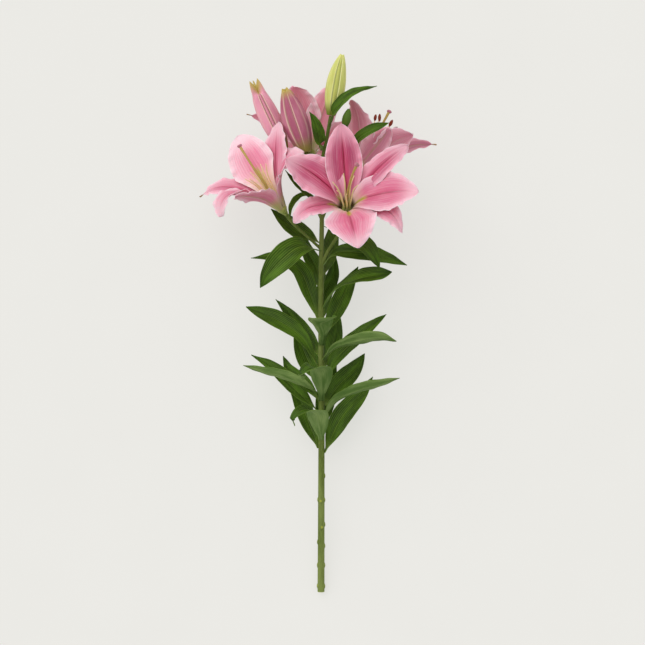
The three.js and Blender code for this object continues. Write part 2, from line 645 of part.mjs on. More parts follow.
const plant = new THREE.Group();
plant.add(piece('stem', stem(), COLOURS.stem, 0.6));
for (const [name, spec] of Object.entries(LEAVES)) {
  plant.add(piece(name, stalkLeaf(spec), COLOURS.leaf, 0.5));
}
for (const [name, [foot, ...rest]] of Object.entries(BRACTS)) {
  plant.add(piece(name, leaf(vec(foot), ...rest), COLOURS.leaf, 0.5));
}
for (const [name, bloom] of Object.entries(BLOOMS)) {
  plant.add(piece(`bloom_${name}_petals`, petals(bloom), COLOURS.petal, 0.5));
  plant.add(piece(`bloom_${name}_stamens`, stamens(bloom), COLOURS.filament, 0.5));
  plant.add(piece(`bloom_${name}_pistil`, pistil(bloom), COLOURS.pistil, 0.5));
}
for (const [name, spec] of Object.entries(BUDS)) {
  const colour = name.includes('pink') ? COLOURS.budPink : COLOURS.budGreen;
  plant.add(piece(name, bud(spec), colour, 0.5));
}

// Laid on the table, with the middle of its outline over the origin.
const lily = new THREE.Group();
lily.add(plant);
plant.rotation.x = rad(RISE);
plant.position.z = CUT_HEIGHT;
lily.updateMatrixWorld(true);
const outline = new THREE.Box3().setFromObject(lily, true);
plant.position.x = -(outline.min.x + outline.max.x) / 2;
plant.position.y = -(outline.min.y + outline.max.y) / 2;

export default lily;
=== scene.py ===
import math

import bpy
import numpy as np
from bpy.props import FloatProperty, FloatVectorProperty, IntProperty, PointerProperty
from mathutils import Matrix, Vector


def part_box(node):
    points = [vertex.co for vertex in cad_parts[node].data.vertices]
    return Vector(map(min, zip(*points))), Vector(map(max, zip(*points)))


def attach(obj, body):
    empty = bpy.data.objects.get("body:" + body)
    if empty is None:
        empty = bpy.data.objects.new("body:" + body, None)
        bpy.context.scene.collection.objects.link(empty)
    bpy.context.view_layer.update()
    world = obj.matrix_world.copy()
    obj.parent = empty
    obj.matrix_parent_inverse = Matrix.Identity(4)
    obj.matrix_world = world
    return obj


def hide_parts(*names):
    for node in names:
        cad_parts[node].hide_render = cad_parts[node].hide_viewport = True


bl_info = {
    "name": "Cut Lily",
    "version": (1, 0, 0),
    "blender": (4, 5, 0),
    "location": "View3D > Sidebar > Cut Lily",
    "description": "A cut oriental lily laid on a table: stem, leaves, blooms and buds",
    "category": "Object",
}

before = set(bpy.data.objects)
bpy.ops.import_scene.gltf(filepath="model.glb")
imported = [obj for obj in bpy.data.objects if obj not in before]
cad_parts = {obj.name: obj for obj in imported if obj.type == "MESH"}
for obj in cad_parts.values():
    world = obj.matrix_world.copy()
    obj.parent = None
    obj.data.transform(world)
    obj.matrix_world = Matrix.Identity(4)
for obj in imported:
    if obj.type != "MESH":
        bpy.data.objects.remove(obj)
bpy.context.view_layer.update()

# ---------------------------------------------------------------- the plant's own frame
# y runs along the stalk from the cut end to the head, x across it and z to the side that
# looks up. Way points are in millimetres and angles in degrees.

MM = 0.001
RISE = 9.0  # how steeply the stalk rises from the cut end to the head
PLANT_AT = (3.926, -344.177, 4.543)  # middle of the cut end, the last number above the table
PLACE_SLACK = 0.0015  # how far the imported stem's foot may lie from there, in metres
BEND = 6.0  # height from which a sheet starts to bend onto the table

# The stalk: way points, each with the stalk's radius there.
STALK = [
    (0, 0, 0, 4.6), (0.4, 120, 0, 4.3), (0.6, 240, 0, 4.0), (0, 340, 0, 3.7), (0.4, 430, 0, 3.5),
    (1, 480, -2, 3.0), (1.3, 560, -4, 2.3), (6.5, 585, -2, 2.1), (13, 619, 2, 2.7),
]
STALK_LENGTH = 620
STALK_CELLS, FLOWER_STEM_CELLS = (160, 28), (48, 20)  # rings along each and points round it

# Cushions left by the lower leaves: height on the stalk and side, 0 right, 90 up, 180 left.
SCARS = [
    (8, 160), (8, 15), (35, 172), (35, 8), (60, 5), (65, 175),
    (88, 10), (84, 80), (120, 165), (120, 20), (118, 100), (151, 10),
]
SCAR_SIZE = (3.6, 2.8, 1.6)  # half its length up the stalk, half its width and half its depth
SCAR_LEAN = 14
SCAR_SUNK = 0.5  # how far its middle lies under the skin
# The colour of a scar is a painted highlight on its cushion.
SCAR_MARK = (1.1, 0.8)  # middle of its colour: how far outside the skin and how far up
SCAR_FADE, CUT_FADE = (2.1, 1.0), (0.9, 0.2)  # where the colours of a scar and the cut end fade in

# Flower stems: way points with radii from inside the stalk to below the bloom or bud.
FLOWER_STEMS = {
    "front": [(1, 424, 0, 2.2), (8, 441, 6, 2.2), (22, 463, 11, 2.3)],
    "left": [(0, 446, 0, 2.1), (-10, 455, 2, 1.9), (-30, 473, -4, 2.0)],
    "right": [(1, 484, -2, 2.2), (9, 502, -7, 2.1), (24, 521, -10, 2.2)],
    "back": [(1, 505, -3, 2.2), (0, 526, -8, 2.1), (-8, 547, -10, 2.2)],
    "bud_pink_1": [(1, 484, -2, 2.0), (-12, 512, -20, 1.8), (-30, 546, -30, 1.9)],
    "bud_pink_2": [(1, 512, -3, 2.0), (-4, 530, -2, 1.8), (-10, 548, -5, 1.9)],
    "bud_small": [(1.3, 556, -4, 1.6), (10, 572, 2, 1.4), (20, 584, 8, 1.4)],
}

# Leaves: height and side where each leaves the stalk, width, how far along it is widest, which
# way its upper face looks just past its foot and at its tip (0 to the head, 90 up, -90 down), and
# the way to its tip.
LEAVES = {
    "leaf_01": (181, 0, 27, 0.48, (52, 62), [(26, 225, -8), (53, 257, -16), (68, 279, -22)]),
    "leaf_02": (187, 194, 23, 0.5, (60, 65), [(-16, 219, -13), (-29, 251, -21), (-44, 274, -26)]),
    "leaf_03": (198, 95, 29, 0.5, (0, 24),
                [(-3, 220, 28), (-9, 237, 50), (-24, 238, 66), (-35, 229, 70), (-33, 220, 66)]),
    "leaf_04": (212, 262, 26, 0.45, (80, 85), [(4, 236, -26), (10, 270, -40), (20, 306, -50)]),
    "leaf_05": (228, 14, 20, 0.5, (-24, -50),
                [(17, 248, 12), (46, 263, 22), (78, 272, 26), (101, 279, 24)]),
    "leaf_06": (234, 200, 21, 0.45, (50, 62), [(-35, 265, -2), (-63, 292, -4), (-91, 308, -10)]),
    "leaf_07": (242, 330, 27, 0.5, (65, 75), [(22, 266, -26), (45, 290, -40), (58, 309, -48)]),
    "leaf_08": (249, 92, 31, 0.6, (0, 16),
                [(1, 271, 34), (-3, 291, 54), (-14, 292, 70), (-24, 285, 74), (-22, 278, 68)]),
    "leaf_09": (258, 170, 19, 0.5, (-25, -50),
                [(-22, 270, 16), (-48, 281, 22), (-76, 288, 22), (-100, 295, 18)]),
    "leaf_10": (249, 208, 17, 0.5, (70, 75), [(-22, 272, -16), (-41, 288, -26), (-50, 306, -34)]),
    "leaf_11": (272, 12, 22, 0.5, (45, 60), [(20, 304, 2), (51, 334, 2), (85, 361, -6)]),
    "leaf_12": (272, 250, 28, 0.45, (75, 80), [(-17, 300, -38), (-28, 326, -52), (-34, 350, -56)]),
    "leaf_13": (292, 190, 24, 0.6, (48, 75), [(-24, 330, -2), (-54, 352, -4), (-98, 371, -10)]),
    "leaf_14": (302, 24, 21, 0.6, (-48, -42),
                [(17, 318, 17), (48, 327, 26), (74, 331, 27), (97, 326, 22)]),
    "leaf_15": (307, 232, 21, 0.45, (70, 75), [(-22, 336, -36), (-44, 364, -38), (-60, 381, -42)]),
    "leaf_16": (321, 82, 34, 0.7, (0, 10),
                [(3, 338, 30), (0, 350, 50), (8, 353, 66), (20, 358, 72)]),
    "leaf_17": (333, 345, 24, 0.5, (60, 70), [(21, 368, -15), (36, 400, -28), (49, 424, -34)]),
    "leaf_18": (353, 276, 24, 0.45, (80, 85), [(3, 388, -51), (16, 414, -60), (18, 446, -66)]),
    "leaf_19": (354, 198, 24, 0.45, (58, 62),
                [(-14, 387, -12), (-28, 419, -18), (-55, 435, -18), (-92, 435, -22)]),
    "leaf_20": (370, 8, 24, 0.68, (-5, 78), [(18, 393, 8), (47, 407, 14), (92, 416, 6)]),
    "leaf_21": (394, 258, 22, 0.45, (80, 85), [(-7, 424, -50), (-19, 448, -58), (-26, 478, -64)]),
    "leaf_22": (290, 300, 24, 0.45, (80, 85), [(14, 318, -36), (20, 346, -52), (22, 372, -58)]),
    "leaf_23": (425, 15, 23, 0.5, (76, 60),
                [(16, 440, 4), (52, 441, 8), (84, 434, 2), (112, 425, -6)]),
    "leaf_24": (444, 158, 34, 0.5, (62, 78),
                [(-27, 448, 20), (-51, 430, 32), (-67, 412, 34), (-78, 395, 30)]),
    "leaf_25": (454, 205, 25, 0.45, (62, 65), [(-30, 470, -18), (-50, 486, -26), (-66, 500, -32)]),
    "leaf_26": (410, 280, 22, 0.45, (80, 85), [(10, 440, -40), (16, 472, -62), (20, 500, -70)]),
    "leaf_27": (476, 330, 24, 0.55, (60, 68), [(30, 464, 1), (60, 447, 18), (76, 421, 12)]),
}

# Small leaves between the flower stems: foot, and then the same as for the leaves.
BRACTS = {
    "bract_1": ((10.8, 606, 4.2), 14, 0.45, (50, 60),
                [(20, 628, 18), (41, 646, 22), (72, 655, 20)]),
    "bract_2": ((1.2, 574, -0.7), 16, 0.45, (60, 70),
                [(-4, 598, 14), (-9, 612, 18), (-15, 622, 19)]),
    "bract_3": ((26.6, 524.4, -5.4), 14, 0.74, (60, 70),
                [(36, 551, 5), (45, 584, 19), (62, 597, 26), (87, 607, 24)]),
    "bract_4": ((-2.6, 500, -1.2), 9, 0.45, (60, 60),
                [(-13, 512, 7), (-25, 523, 14), (-36, 534, 16), (-46, 547, 14)]),
    "bract_5": ((-2.6, 509, -3.7), 9, 0.45, (40, 60),
                [(-14, 516, 0), (-28, 514, 6), (-39, 500, 10), (-40, 484, 10)]),
}

# Blooms. foot: foot of the petals. axis: the way the bloom looks. lean: how far its petals lean
# at their foot. opening: the stretch of a petal over which it opens. pistil: where the pistil
# ends aside of the axis. stamens: how far they reach along the axis and stand apart. anthers:
# whether they keep theirs. throat: how far up a petal its whitish foot reaches. pale: painted
# light that lifts a bloom's petals towards pale, most on the blooms that lie in shade. tones and
# shades: how deep each petal's colour is, partly its own deeper colour and partly painted shade on
# the petals that face away from the light, the inner ones first. inner and outer: the petals, each
# with its place round the axis, how far it opens, how far its tip curls back, how it sways aside
# and twists, its length and width as shares of a whole one, where it is widest, and whether it
# ends in a narrow claw.
BLOOMS = {
    "front": {
        "foot": (33, 497, 30), "axis": (-0.04, 0.5, 0.86), "lean": 32, "opening": (0.04, 0.42),
        "pistil": (15, 4), "stamens": (56, 12), "anthers": False,
        "throat": 0.3, "pale": 0.0, "tones_and_shades": (0.8, 0.25, 0.4, 1.0, 0.35, 0.4, 0.7),
        "inner": [(142, 66, 4, 9, 8, 0.83, 1.16, 0.56, 0),
                  (280, 70, 36, 2, 0, 0.72, 1.42, 0.42, 0),
                  (3, 68, 14, -6, -6, 0.85, 1.22, 0.55, 0)],
        "outer": [(94, 51, 22, 1, 0, 0.88, 1.46, 0.5, 0),
                  (188, 80, 56, 14, 0, 0.64, 0.95, 0.5, 0),
                  (345, 72, 56, -20, 0, 0.78, 0.95, 0.5, 0),
                  (44, 64, 14, -6, 0, 0.92, 1.0, 0.55, 0)],
    },
    "left": {
        "foot": (-51, 499, -4), "axis": (-0.56, 0.74, 0.36), "lean": 16, "opening": (0.1, 0.5),
        "pistil": (-34, 22), "stamens": (62, 13), "anthers": False,
        "throat": 0.33, "pale": 0.1, "tones_and_shades": (-0.4, 0.4, 0.3, 0.35, 0.5, 0.4),
        "inner": [(148, 40, 10, -3, 0, 1.0, 1.27, 0.55, 0),
                  (259, 40, 106, 0, 0, 0.92, 1.32, 0.56, 0),
                  (56, 46, 70, 0, 0, 0.76, 1.32, 0.56, 0)],
        "outer": [(99, 44, 12, -1, 6, 0.95, 1.34, 0.66, 0),
                  (203, 52, 50, 4, 0, 1.03, 1.2, 0.5, 1),
                  (302, 50, 12, 0, 0, 0.84, 1.2, 0.5, 0)],
    },
    "right": {
        "foot": (44, 548, -16), "axis": (0.5, 0.82, -0.28), "lean": 15, "opening": (0.12, 0.55),
        "pistil": (-16, 10), "stamens": (81, 11), "anthers": True,
        "throat": 0.25, "pale": 0.28, "tones_and_shades": (0.4, 0.5, 0.4, 0.6, 0.8, 0.4),
        "inner": [(104, 44, 30, 0, 0, 0.81, 1.0, 0.52, 0),
                  (207, 30, 24, 0, 0, 0.76, 1.05, 0.54, 0),
                  (325, 58, 34, 0, 0, 0.94, 1.0, 0.52, 0)],
        "outer": [(172, 26, 6, 0, 0, 0.6, 1.1, 0.5, 0),
                  (246, 32, 30, 0, -40, 1.0, 1.0, 0.5, 1),
                  (30, 34, 16, 0, 0, 0.88, 1.0, 0.5, 0)],
    },
    "back": {
        "foot": (-14, 573, -26), "axis": (0, 0.62, -0.78), "lean": 15, "opening": (0.16, 0.66),
        "pistil": (0, 16), "stamens": (62, 16), "anthers": True,
        "throat": 0.25, "pale": 0.3, "tones_and_shades": (0.1, 0.1, 0.1, 0.1, 0.1, 0.1),
        "inner": [(72, 62, 34, 0, 0, 0.84, 0.95, 0.52, 0),
                  (190, 48, 24, 0, 0, 0.82, 0.9, 0.52, 0),
                  (300, 62, 34, 0, 0, 0.92, 1.0, 0.52, 0)],
        "outer": [(116, 56, 34, 0, 0, 0.9, 1.25, 0.5, 1),
                  (242, 62, 40, 0, 0, 0.92, 1.0, 0.5, 1),
                  (14, 64, 24, 0, 0, 0.96, 1.0, 0.5, 1)],
    },
}

# Blades: the narrow foot as a share of the width, how bluntly the blade ends, and for the two
# rings of petals also their whole width, how much more they lean and their step outwards.
LEAF = {"foot": 0.26, "blunt": 0.85}
INNER = {"width": 49, "foot": 0.2, "blunt": 0.56, "lean": 0, "step": -0.5}
OUTER = {"width": 33, "foot": 0.26, "blunt": 0.6, "lean": 6, "step": 0.5}
TAPER = 2.0  # how much sharper a blade ends for being widest nearer its foot
LEAST_WIDTH = 0.45  # half width of a blade at its very tip
LEAF_BODY, PETAL_BODY = 0.9, 1.0  # room that a leaf and a petal take up where they lie on the table
LEAF_COLUMNS, PETAL_COLUMNS = 25, 33  # points across a leaf and a petal
LEAF_SUNK = 0.4  # how deep a leaf's foot lies in the stalk
LEAF_FOLD = 0.32  # how high a leaf's edges stand over its midrib, as a share of its half width
LEAF_WAVE, LEAF_RIPPLE = (1.2, 1.3), (0.45, 5.2)  # height and count of waves, and of edge ripples
LEAF_GROOVE = (0.9, 1.3)  # depth and half width of the groove over the midrib

PETAL_LENGTH = 118
PETAL_STEPS = 700  # steps in which a petal's curve is added up
FUNNEL_RADIUS = 6.0
FOOT_WRAP = 0.95  # most a petal wraps round the axis to either side, as a share of its distance
CLAW = (0.06, 0.7)  # length of a claw, as a share of the petal's, and its half width
BOW = 0.008  # how strongly an open petal bows across itself, as 1 over the bow's radius
PETAL_WAVE = (2.2, 1.6)  # height and count of the long waves in a petal
PETAL_RIPPLES = (6.3, 11.1)  # counts of the coarse and the fine ripples in its edges
FURROW_WIDTH = 1.7
SWELLING = (0.54, 0.24, 2.6)  # beside the furrow: height, place as a share of the half width, width

# The receptacle under the petals: share of its length, height above their foot and radius.
RECEPTACLE = [(0, -10.4, 2.9), (0.35, -6, 4.4), (0.75, -1, 6.9), (1, 1.2, 6.4)]
RECEPTACLE_CELLS, RECEPTACLE_LOBES = (14, 24), 0.04  # cells as for the stalk, height of its lobes
RECEPTACLE_DEPTH, NECK = 10, 8.35  # its depth and the straight end of the flower stem below it
BUD_NECK = (1.2, 0.09)  # radius of a flower stem below its bud: the least, and a share of the bud's

# Stamens and pistil, from the foot of the petals along the bloom's axis.
FLOOR = 1.55  # where they stand
STAMEN_RING = 3.45  # how far from the axis the stamens stand
ANTHER_LEAN = (0.35, 0.94)  # out from the axis and along it
STRAY = {"aside": 2.2, "spread": 1.5, "reach": 2.5, "tilt": 2}  # how far each stamen may differ
ANTHER_RADIUS, ANTHER_GROOVE, ANTHER_GRAIN = 2.3, 0.22, 0.04  # the last two as shares of the radius
PISTIL_REACH = 90
OVARY_RIBS, STIGMA_LOBES, STIGMA_FLAT = 0.14, 0.16, 0.75  # shares of their radius
STIGMA_SEAMS = 0.5  # how far the seams between the stigma's lobes stand above its sunk top
STIGMA_DIP = 0.6  # how far its top is sunk
FILAMENT_CELLS, ANTHER_CELLS, NECK_CELLS = (26, 10), (22, 16), (90, 30)  # as for the stalk

# Buds: foot, widest radius, the way to the tip, turn of the seams, how far the tips stand apart,
# how far each seam lies from the middle of its outer petal, how deep the skin's colour is, and
# the material slot.
BUDS = {
    "bud_pink_1": ((-48.5, 579, -34), 14, [(-60, 604, -34), (-77, 640, -32), (-89.5, 670, -30)],
                   64, 15, 50, 0.1, "bud_pink"),
    "bud_pink_2": ((-19.5, 572, -7), 17, [(-27, 596, -8), (-38, 628, -6), (-47, 656, -4)],
                   39, 3, 42, 0.75, "bud_pink"),
    "bud_green": ((13.05, 619.35, 2.04), 12.6, [(17, 645, 5), (22, 674, 7), (27.5, 698, 6)],
                  64, 1, 45, 0.15, "bud_green"),
    "bud_small": ((30.5, 602.5, 13), 5.6, [(32, 609, 15), (34, 617, 17), (36, 626, 18)],
                  40, 0.5, 50, 0.1, "bud_green"),
}
BUD_CELLS = (96, 180)  # rings along a bud and points round it

# The stage, in metres: half the width of the table top and how far it lies below the plant, the
# lamp's place and where its light comes from, and how far the camera sees.
TABLE_REACH, TABLE_DROP = 12.0, 0.0004
LAMP_AT, LAMP_FROM = (-1.5, 1.5, 1.8), (-0.5, 0.55, 0.85)
FAR_END = 20
AIM = (1.95, 350.35)  # what the camera looks at: across and up the stalk, in millimetres
TABLE_GRAIN, TABLE_LIGHT = (0.45, 0.45, 0.44), (0.98, 0.975, 0.937, 1)  # colours
SKY_LIGHT, LAMP_LIGHT = (1, 0.995, 0.985, 1), (1, 0.985, 0.96)


# ---------------------------------------------------------------- curves and plant places

def ease(x, start=0.0, end=1.0):
    """Smooth rise from 0 at start to 1 at end, or a fall where end is before start."""
    s = np.clip((x - start) / (end - start), 0, 1)
    return s * s * (3 - 2 * s)


def unit(vectors):
    """The vectors at length 1."""
    vectors = np.asarray(vectors, float)
    return vectors / np.maximum(np.linalg.norm(vectors, axis=-1, keepdims=True), 1e-9)


class Way:
    """A smooth curve through way points, walked by share of its length."""

    SPAN = 48  # points of the curve between two way points
    REACH = 0.004  # share to either side over which its direction is taken

    def __init__(self, points):
        p = np.array([q[:3] for q in points], float)
        p = np.vstack([2 * p[0] - p[1], p, 2 * p[-1] - p[-2]])
        dense = []
        s = np.linspace(0, 1, self.SPAN, endpoint=False)[:, None]
        for a, b, c, d in zip(p, p[1:], p[2:], p[3:]):
            pairs = ((a, b), (b, c), (c, d))  # roots of their gaps keep the curve from looping
            ab, bc, cd = (max(np.linalg.norm(v - u), 1e-4) ** 0.5 for u, v in pairs)
            leave = ((b - a) / ab - (c - a) / (ab + bc) + (c - b) / bc) * bc
            arrive = ((c - b) / bc - (d - b) / (bc + cd) + (d - c) / cd) * bc
            dense.append(b + leave * s + (3 * (c - b) - 2 * leave - arrive) * s**2
                         + (2 * (b - c) + leave + arrive) * s**3)
        self.points = np.vstack(dense + [p[-2][None]])
        run = np.linalg.norm(np.diff(self.points, axis=0), axis=1)
        self.length = run.sum()
        self.share = np.concatenate([[0], np.cumsum(run)]) / self.length
        self.radii = [q[3] if len(q) > 3 else 0 for q in points]

    def at(self, u):
        """Points at shares u of the length."""
        return np.stack([np.interp(u, self.share, self.points[:, k]) for k in range(3)], -1)

    def along(self, u):
        """Unit tangents at shares u."""
        ahead, behind = np.minimum(u + self.REACH, 1), np.maximum(u - self.REACH, 0)
        return unit(self.at(ahead) - self.at(behind))

    def radius(self, u):
        """Radius at shares u, from the way points' own."""
        knots = np.interp(u, self.share, np.linspace(0, len(self.radii) - 1, len(self.share)))
        return np.interp(knots, np.arange(len(self.radii)), self.radii)

    def frames(self, u):
        """Two unit vectors across the curve at each share, turning as little as they can."""
        tangents = self.along(u)
        first = np.zeros(3)
        first[np.argmin(np.abs(tangents[0]))] = 1
        normals = []
        for tangent in tangents:
            first = unit(first - tangent * first.dot(tangent))
            normals.append(first)
        normals = np.array(normals)
        return normals, np.cross(tangents, normals)


def round_angles(count):
    """Even angles round a circle."""
    return np.linspace(0, 2 * np.pi, count, endpoint=False)


def bell(x, middle, width):
    """1 at the middle, falling smoothly to 0 a few widths away."""
    return np.exp(-(((x - middle) / width) ** 2))


def waves(x):
    """A sine wave with one rise and fall for each 1 of x."""
    return np.sin(2 * np.pi * x)


TURN = Matrix.Rotation(math.radians(RISE), 4, "X")
TURNED = np.array(TURN.to_3x3())
UP = np.array([0, math.sin(math.radians(RISE)), math.cos(math.radians(RISE))])
ALONG_STALK = np.array([0, 1, 0])


def on_table(points, thickness):
    """Sheet points bent onto the table where they would lie lower than its top."""
    height = points @ UP + PLANT_AT[2] - thickness / 2
    rest = np.where(height <= -BEND, 0, (height + BEND) ** 2 / (4 * BEND))
    lift = np.where(height >= BEND, 0, rest - height)
    return points + lift[..., None] * UP


def to_world(points):
    """Plant points in millimetres as places in the part's frame, in metres."""
    return (points @ TURNED.T + PLANT_AT) * MM


def sideways(side):
    """The direction from the stalk's middle to a side of it."""
    return np.array([math.cos(math.radians(side)), 0, math.sin(math.radians(side))])


STALK_WAY = Way(STALK)


def in_bloom(bloom, points):
    """Plant points from points given at a bloom's foot, with its axis along z and y to the head."""
    z = unit(bloom["axis"])
    x = unit(np.cross(ALONG_STALK, z))
    return np.asarray(points, float) @ np.stack([x, np.cross(z, x), z]) + bloom["foot"]


def bloom_way(bloom, points):
    """A way through points given as for in_bloom, each with its radius."""
    return Way([(*in_bloom(bloom, p[:3]), p[3]) for p in points])


# ---------------------------------------------------------------- shells

class Shell:
    """Closed bodies gathered into one mesh, with values kept at their points."""

    def __init__(self):
        self.points, self.faces, self.values, self.slots = [], [], {}, []
        self.count = 0

    def add(self, points, faces, slot=0, **values):
        """A closed body of the material in slot."""
        self.points.append(points)
        self.faces.append(np.asarray(faces) + self.count)
        self.slots.append(np.full(len(faces), slot))
        for name in set(self.values) | set(values):
            filled = self.values.setdefault(name, [np.zeros(self.count)])
            filled.append(np.broadcast_to(np.asarray(values.get(name, 0.0), float), len(points)))
        self.count += len(points)

    def sheet(self, grid, thickness, **values):
        """A closed sheet about a grid of points. face is 1 on its upper side and 0 below."""
        rows, columns = grid.shape[:2]
        out = unit(np.cross(np.gradient(grid, axis=1), np.gradient(grid, axis=0)))
        half = np.asarray(thickness)[..., None] / 2 * out
        number = np.arange(rows * columns).reshape(rows, columns)
        a, b = number[:-1, :-1], number[:-1, 1:]
        c, d = number[1:, 1:], number[1:, :-1]
        under = rows * columns
        upper = np.stack([a, b, c, d], -1).reshape(-1, 4)
        lower = np.stack([a, d, c, b], -1).reshape(-1, 4) + under
        sides = number[0, :-1], number[:-1, -1], number[-1, :0:-1], number[:0:-1, 0]
        rim = np.concatenate(sides)
        after = np.roll(rim, -1)
        edge = np.stack([rim, rim + under, after + under, after], -1)
        both = {}
        for name, value in values.items():
            both[name] = np.tile(np.broadcast_to(value, (rows, columns)).ravel(), 2)
        both["face"] = np.repeat([1.0, 0.0], rows * columns)
        points = np.concatenate([(grid + half).reshape(-1, 3), (grid - half).reshape(-1, 3)])
        self.add(points, np.concatenate([upper, lower, edge]), **both)

    def rings(self, rings, slot=0, **values):
        """A closed body through rings of points, rounded off by a middle point at each end."""
        count, sides = rings.shape[:2]
        number = np.arange(count * sides).reshape(count, sides)
        after = np.roll(number, -1, axis=1)
        skin = np.stack([number[:-1], after[:-1], after[1:], number[1:]], -1).reshape(-1, 4)
        first, last = count * sides, count * sides + 1
        caps = [(first, b, a, a) for a, b in zip(number[0], after[0])]
        caps += [(last, a, b, b) for a, b in zip(number[-1], after[-1])]
        points = np.vstack([rings.reshape(-1, 3), rings[0].mean(0), rings[-1].mean(0)])
        full = {}
        for name, value in values.items():
            value = np.broadcast_to(value, (count, sides))
            full[name] = np.concatenate([value.ravel(), [value[0].mean(), value[-1].mean()]])
        self.add(points, np.concatenate([skin, caps]), slot, **full)

    def tube(self, way, cells, radius=None, slot=0):
        """A round bar along a way. radius is a function of the shares and angles."""
        u, angle = np.linspace(0, 1, cells[0]), round_angles(cells[1])
        size = way.radius(u)[:, None] if radius is None else radius(u[:, None], angle)
        out = round_way(way, u, angle)
        self.rings(way.at(u)[:, None] + out * size[..., None], slot, along=u[:, None])

    def piece(self, name, materials):
        """The gathered bodies as one smooth object in the part's frame."""
        mesh = bpy.data.meshes.new(name)
        faces = [list(dict.fromkeys(f)) for f in np.concatenate(self.faces).tolist()]
        mesh.from_pydata(to_world(np.concatenate(self.points)).tolist(), [], faces)
        for key, parts in self.values.items():
            keep_values(mesh, key, np.concatenate(parts))
        for material in materials:
            mesh.materials.append(material)
        mesh.polygons.foreach_set("material_index", np.concatenate(self.slots).astype(np.int32))
        mesh.shade_smooth()
        return new_object(mesh)

    def stand_for(self, node, materials):
        """The gathered bodies as the piece in the place of a CAD node."""
        settle(self.piece("lily_" + node, materials), node)


def round_way(way, u, angle):
    """Unit vectors across a way at shares u, one for each angle round it."""
    first, second = way.frames(u)
    return first[:, None] * np.cos(angle)[:, None] + second[:, None] * np.sin(angle)[:, None]


def keep_values(mesh, key, values):
    """Values kept at the mesh's points, for its material."""
    mesh.attributes.new(key, "FLOAT", "POINT").data.foreach_set("value", values)


def new_object(data):
    """An object of the same name for a mesh, lamp or camera, in the scene."""
    made = bpy.data.objects.new(data.name, data)
    bpy.context.scene.collection.objects.link(made)
    return made


def settle(piece, node):
    """The piece rides with the plant and stands for its CAD node."""
    if not piece.data.polygons:
        raise RuntimeError(f"{piece.name} has no faces")
    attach(piece, "root")
    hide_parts(node)


# ---------------------------------------------------------------- node materials

class Field:
    """A number or colour that varies over a surface, with sums written plainly."""

    def __init__(self, look, socket):
        self.look, self.socket = look, socket

    def __add__(self, other):
        return self.look.maths("ADD", self, other)

    def __sub__(self, other):
        return self.look.maths("SUBTRACT", self, other)

    def __mul__(self, other):
        return self.look.maths("MULTIPLY", self, other)

    __radd__, __rmul__ = __add__, __mul__

    def __rsub__(self, other):
        return self.look.maths("SUBTRACT", other, self)

    def __abs__(self):
        return self.look.maths("ABSOLUTE", self)

    def __pow__(self, other):
        return self.look.maths("POWER", self, other)

    def band(self, start, end):
        """Smooth rise from 0 at start to 1 at end, or a fall where end is before start."""
        low, high = (0.0, 1.0) if start < end else (1.0, 0.0)
        return self.look.field("ShaderNodeMapRange", self, min(start, end), max(start, end),
                               low, high, interpolation_type="SMOOTHSTEP")


class Look:
    """A node material, put together from fields."""

    def __init__(self, name, **sockets):
        self.material = bpy.data.materials.new(name)
        self.material.use_nodes = True
        self.tree = self.material.node_tree
        self.shader = self.tree.nodes["Principled BSDF"]
        for key, value in sockets.items():
            self.shader.inputs[key.replace("_", " ")].default_value = value

    def node(self, kind, *inputs, **settings):
        """A new node with its first inputs joined."""
        node = self.tree.nodes.new(kind)
        for key, value in settings.items():
            setattr(node, key, value)
        for socket, value in zip(node.inputs, inputs):
            self.join(value, socket)
        return node

    def join(self, value, socket):
        """A field linked to a socket, or a fixed value set on it."""
        if isinstance(value, Field):
            self.tree.links.new(value.socket, socket)
        else:
            socket.default_value = value

    def field(self, kind, *inputs, output=0, **settings):
        """What a new node gives."""
        return Field(self, self.node(kind, *inputs, **settings).outputs[output])

    def value(self, name):
        """A value kept at the mesh's points."""
        return self.field("ShaderNodeAttribute", output="Fac", attribute_name=name)

    def place(self):
        """The place in the object, in metres."""
        return self.field("ShaderNodeTexCoord", output="Object")

    def maths(self, operation, *inputs):
        """A sum of one or two fields or numbers."""
        return self.field("ShaderNodeMath", *inputs, operation=operation)

    def mix(self, share, first, second):
        """A colour between two others."""
        node = self.node("ShaderNodeMix", data_type="RGBA")
        for key, value in ((0, share), (6, first), (7, second)):  # its sockets for colours
            if not isinstance(value, (Field, float, int)):
                value = (*value, 1.0)
            self.join(value, node.inputs[key])
        return Field(self, node.outputs[2])

    def coats(self, colour, *coats):
        """A colour with others laid over it in turn, each with its share."""
        for share, over in coats:
            colour = self.mix(share, colour, over)
        return colour

    def noise(self, vector, scale, detail, roughness=0.5):
        """Clouds or grains. vector is a place, or three fields or numbers."""
        if isinstance(vector, tuple):
            vector = self.field("ShaderNodeCombineXYZ", *vector)
        node = self.node("ShaderNodeTexNoise")
        sockets = {"Vector": vector, "Scale": scale, "Detail": detail, "Roughness": roughness}
        for key, value in sockets.items():
            self.join(value, node.inputs[key])
        return Field(self, node.outputs["Fac"])

    def streaks(self, scale, detail, roughness=0.5):
        """Clouds with a scale of their own for each side of the object, to draw them out."""
        node = self.node("ShaderNodeMapping", self.place())
        node.inputs["Scale"].default_value = scale
        return self.noise(Field(self, node.outputs[0]), 1.0, detail, roughness)

    def stripes(self, x, count, sharp):
        """Narrow even lines across x, 1 in the middle of each."""
        return abs(self.maths("COSINE", x * (math.pi * count))) ** sharp

    def finish(self, colour, roughness=None, height=None, depth=0.0003):
        """The fields set on the shader, with fine relief from height."""
        self.join(colour, self.shader.inputs["Base Color"])
        if roughness is not None:
            self.join(roughness, self.shader.inputs["Roughness"])
        if height is not None:
            bump = self.node("ShaderNodeBump")
            bump.inputs["Strength"].default_value = 1.0
            bump.inputs["Distance"].default_value = depth
            self.join(height, bump.inputs["Height"])
            self.tree.links.new(bump.outputs[0], self.shader.inputs["Normal"])
        return self.material


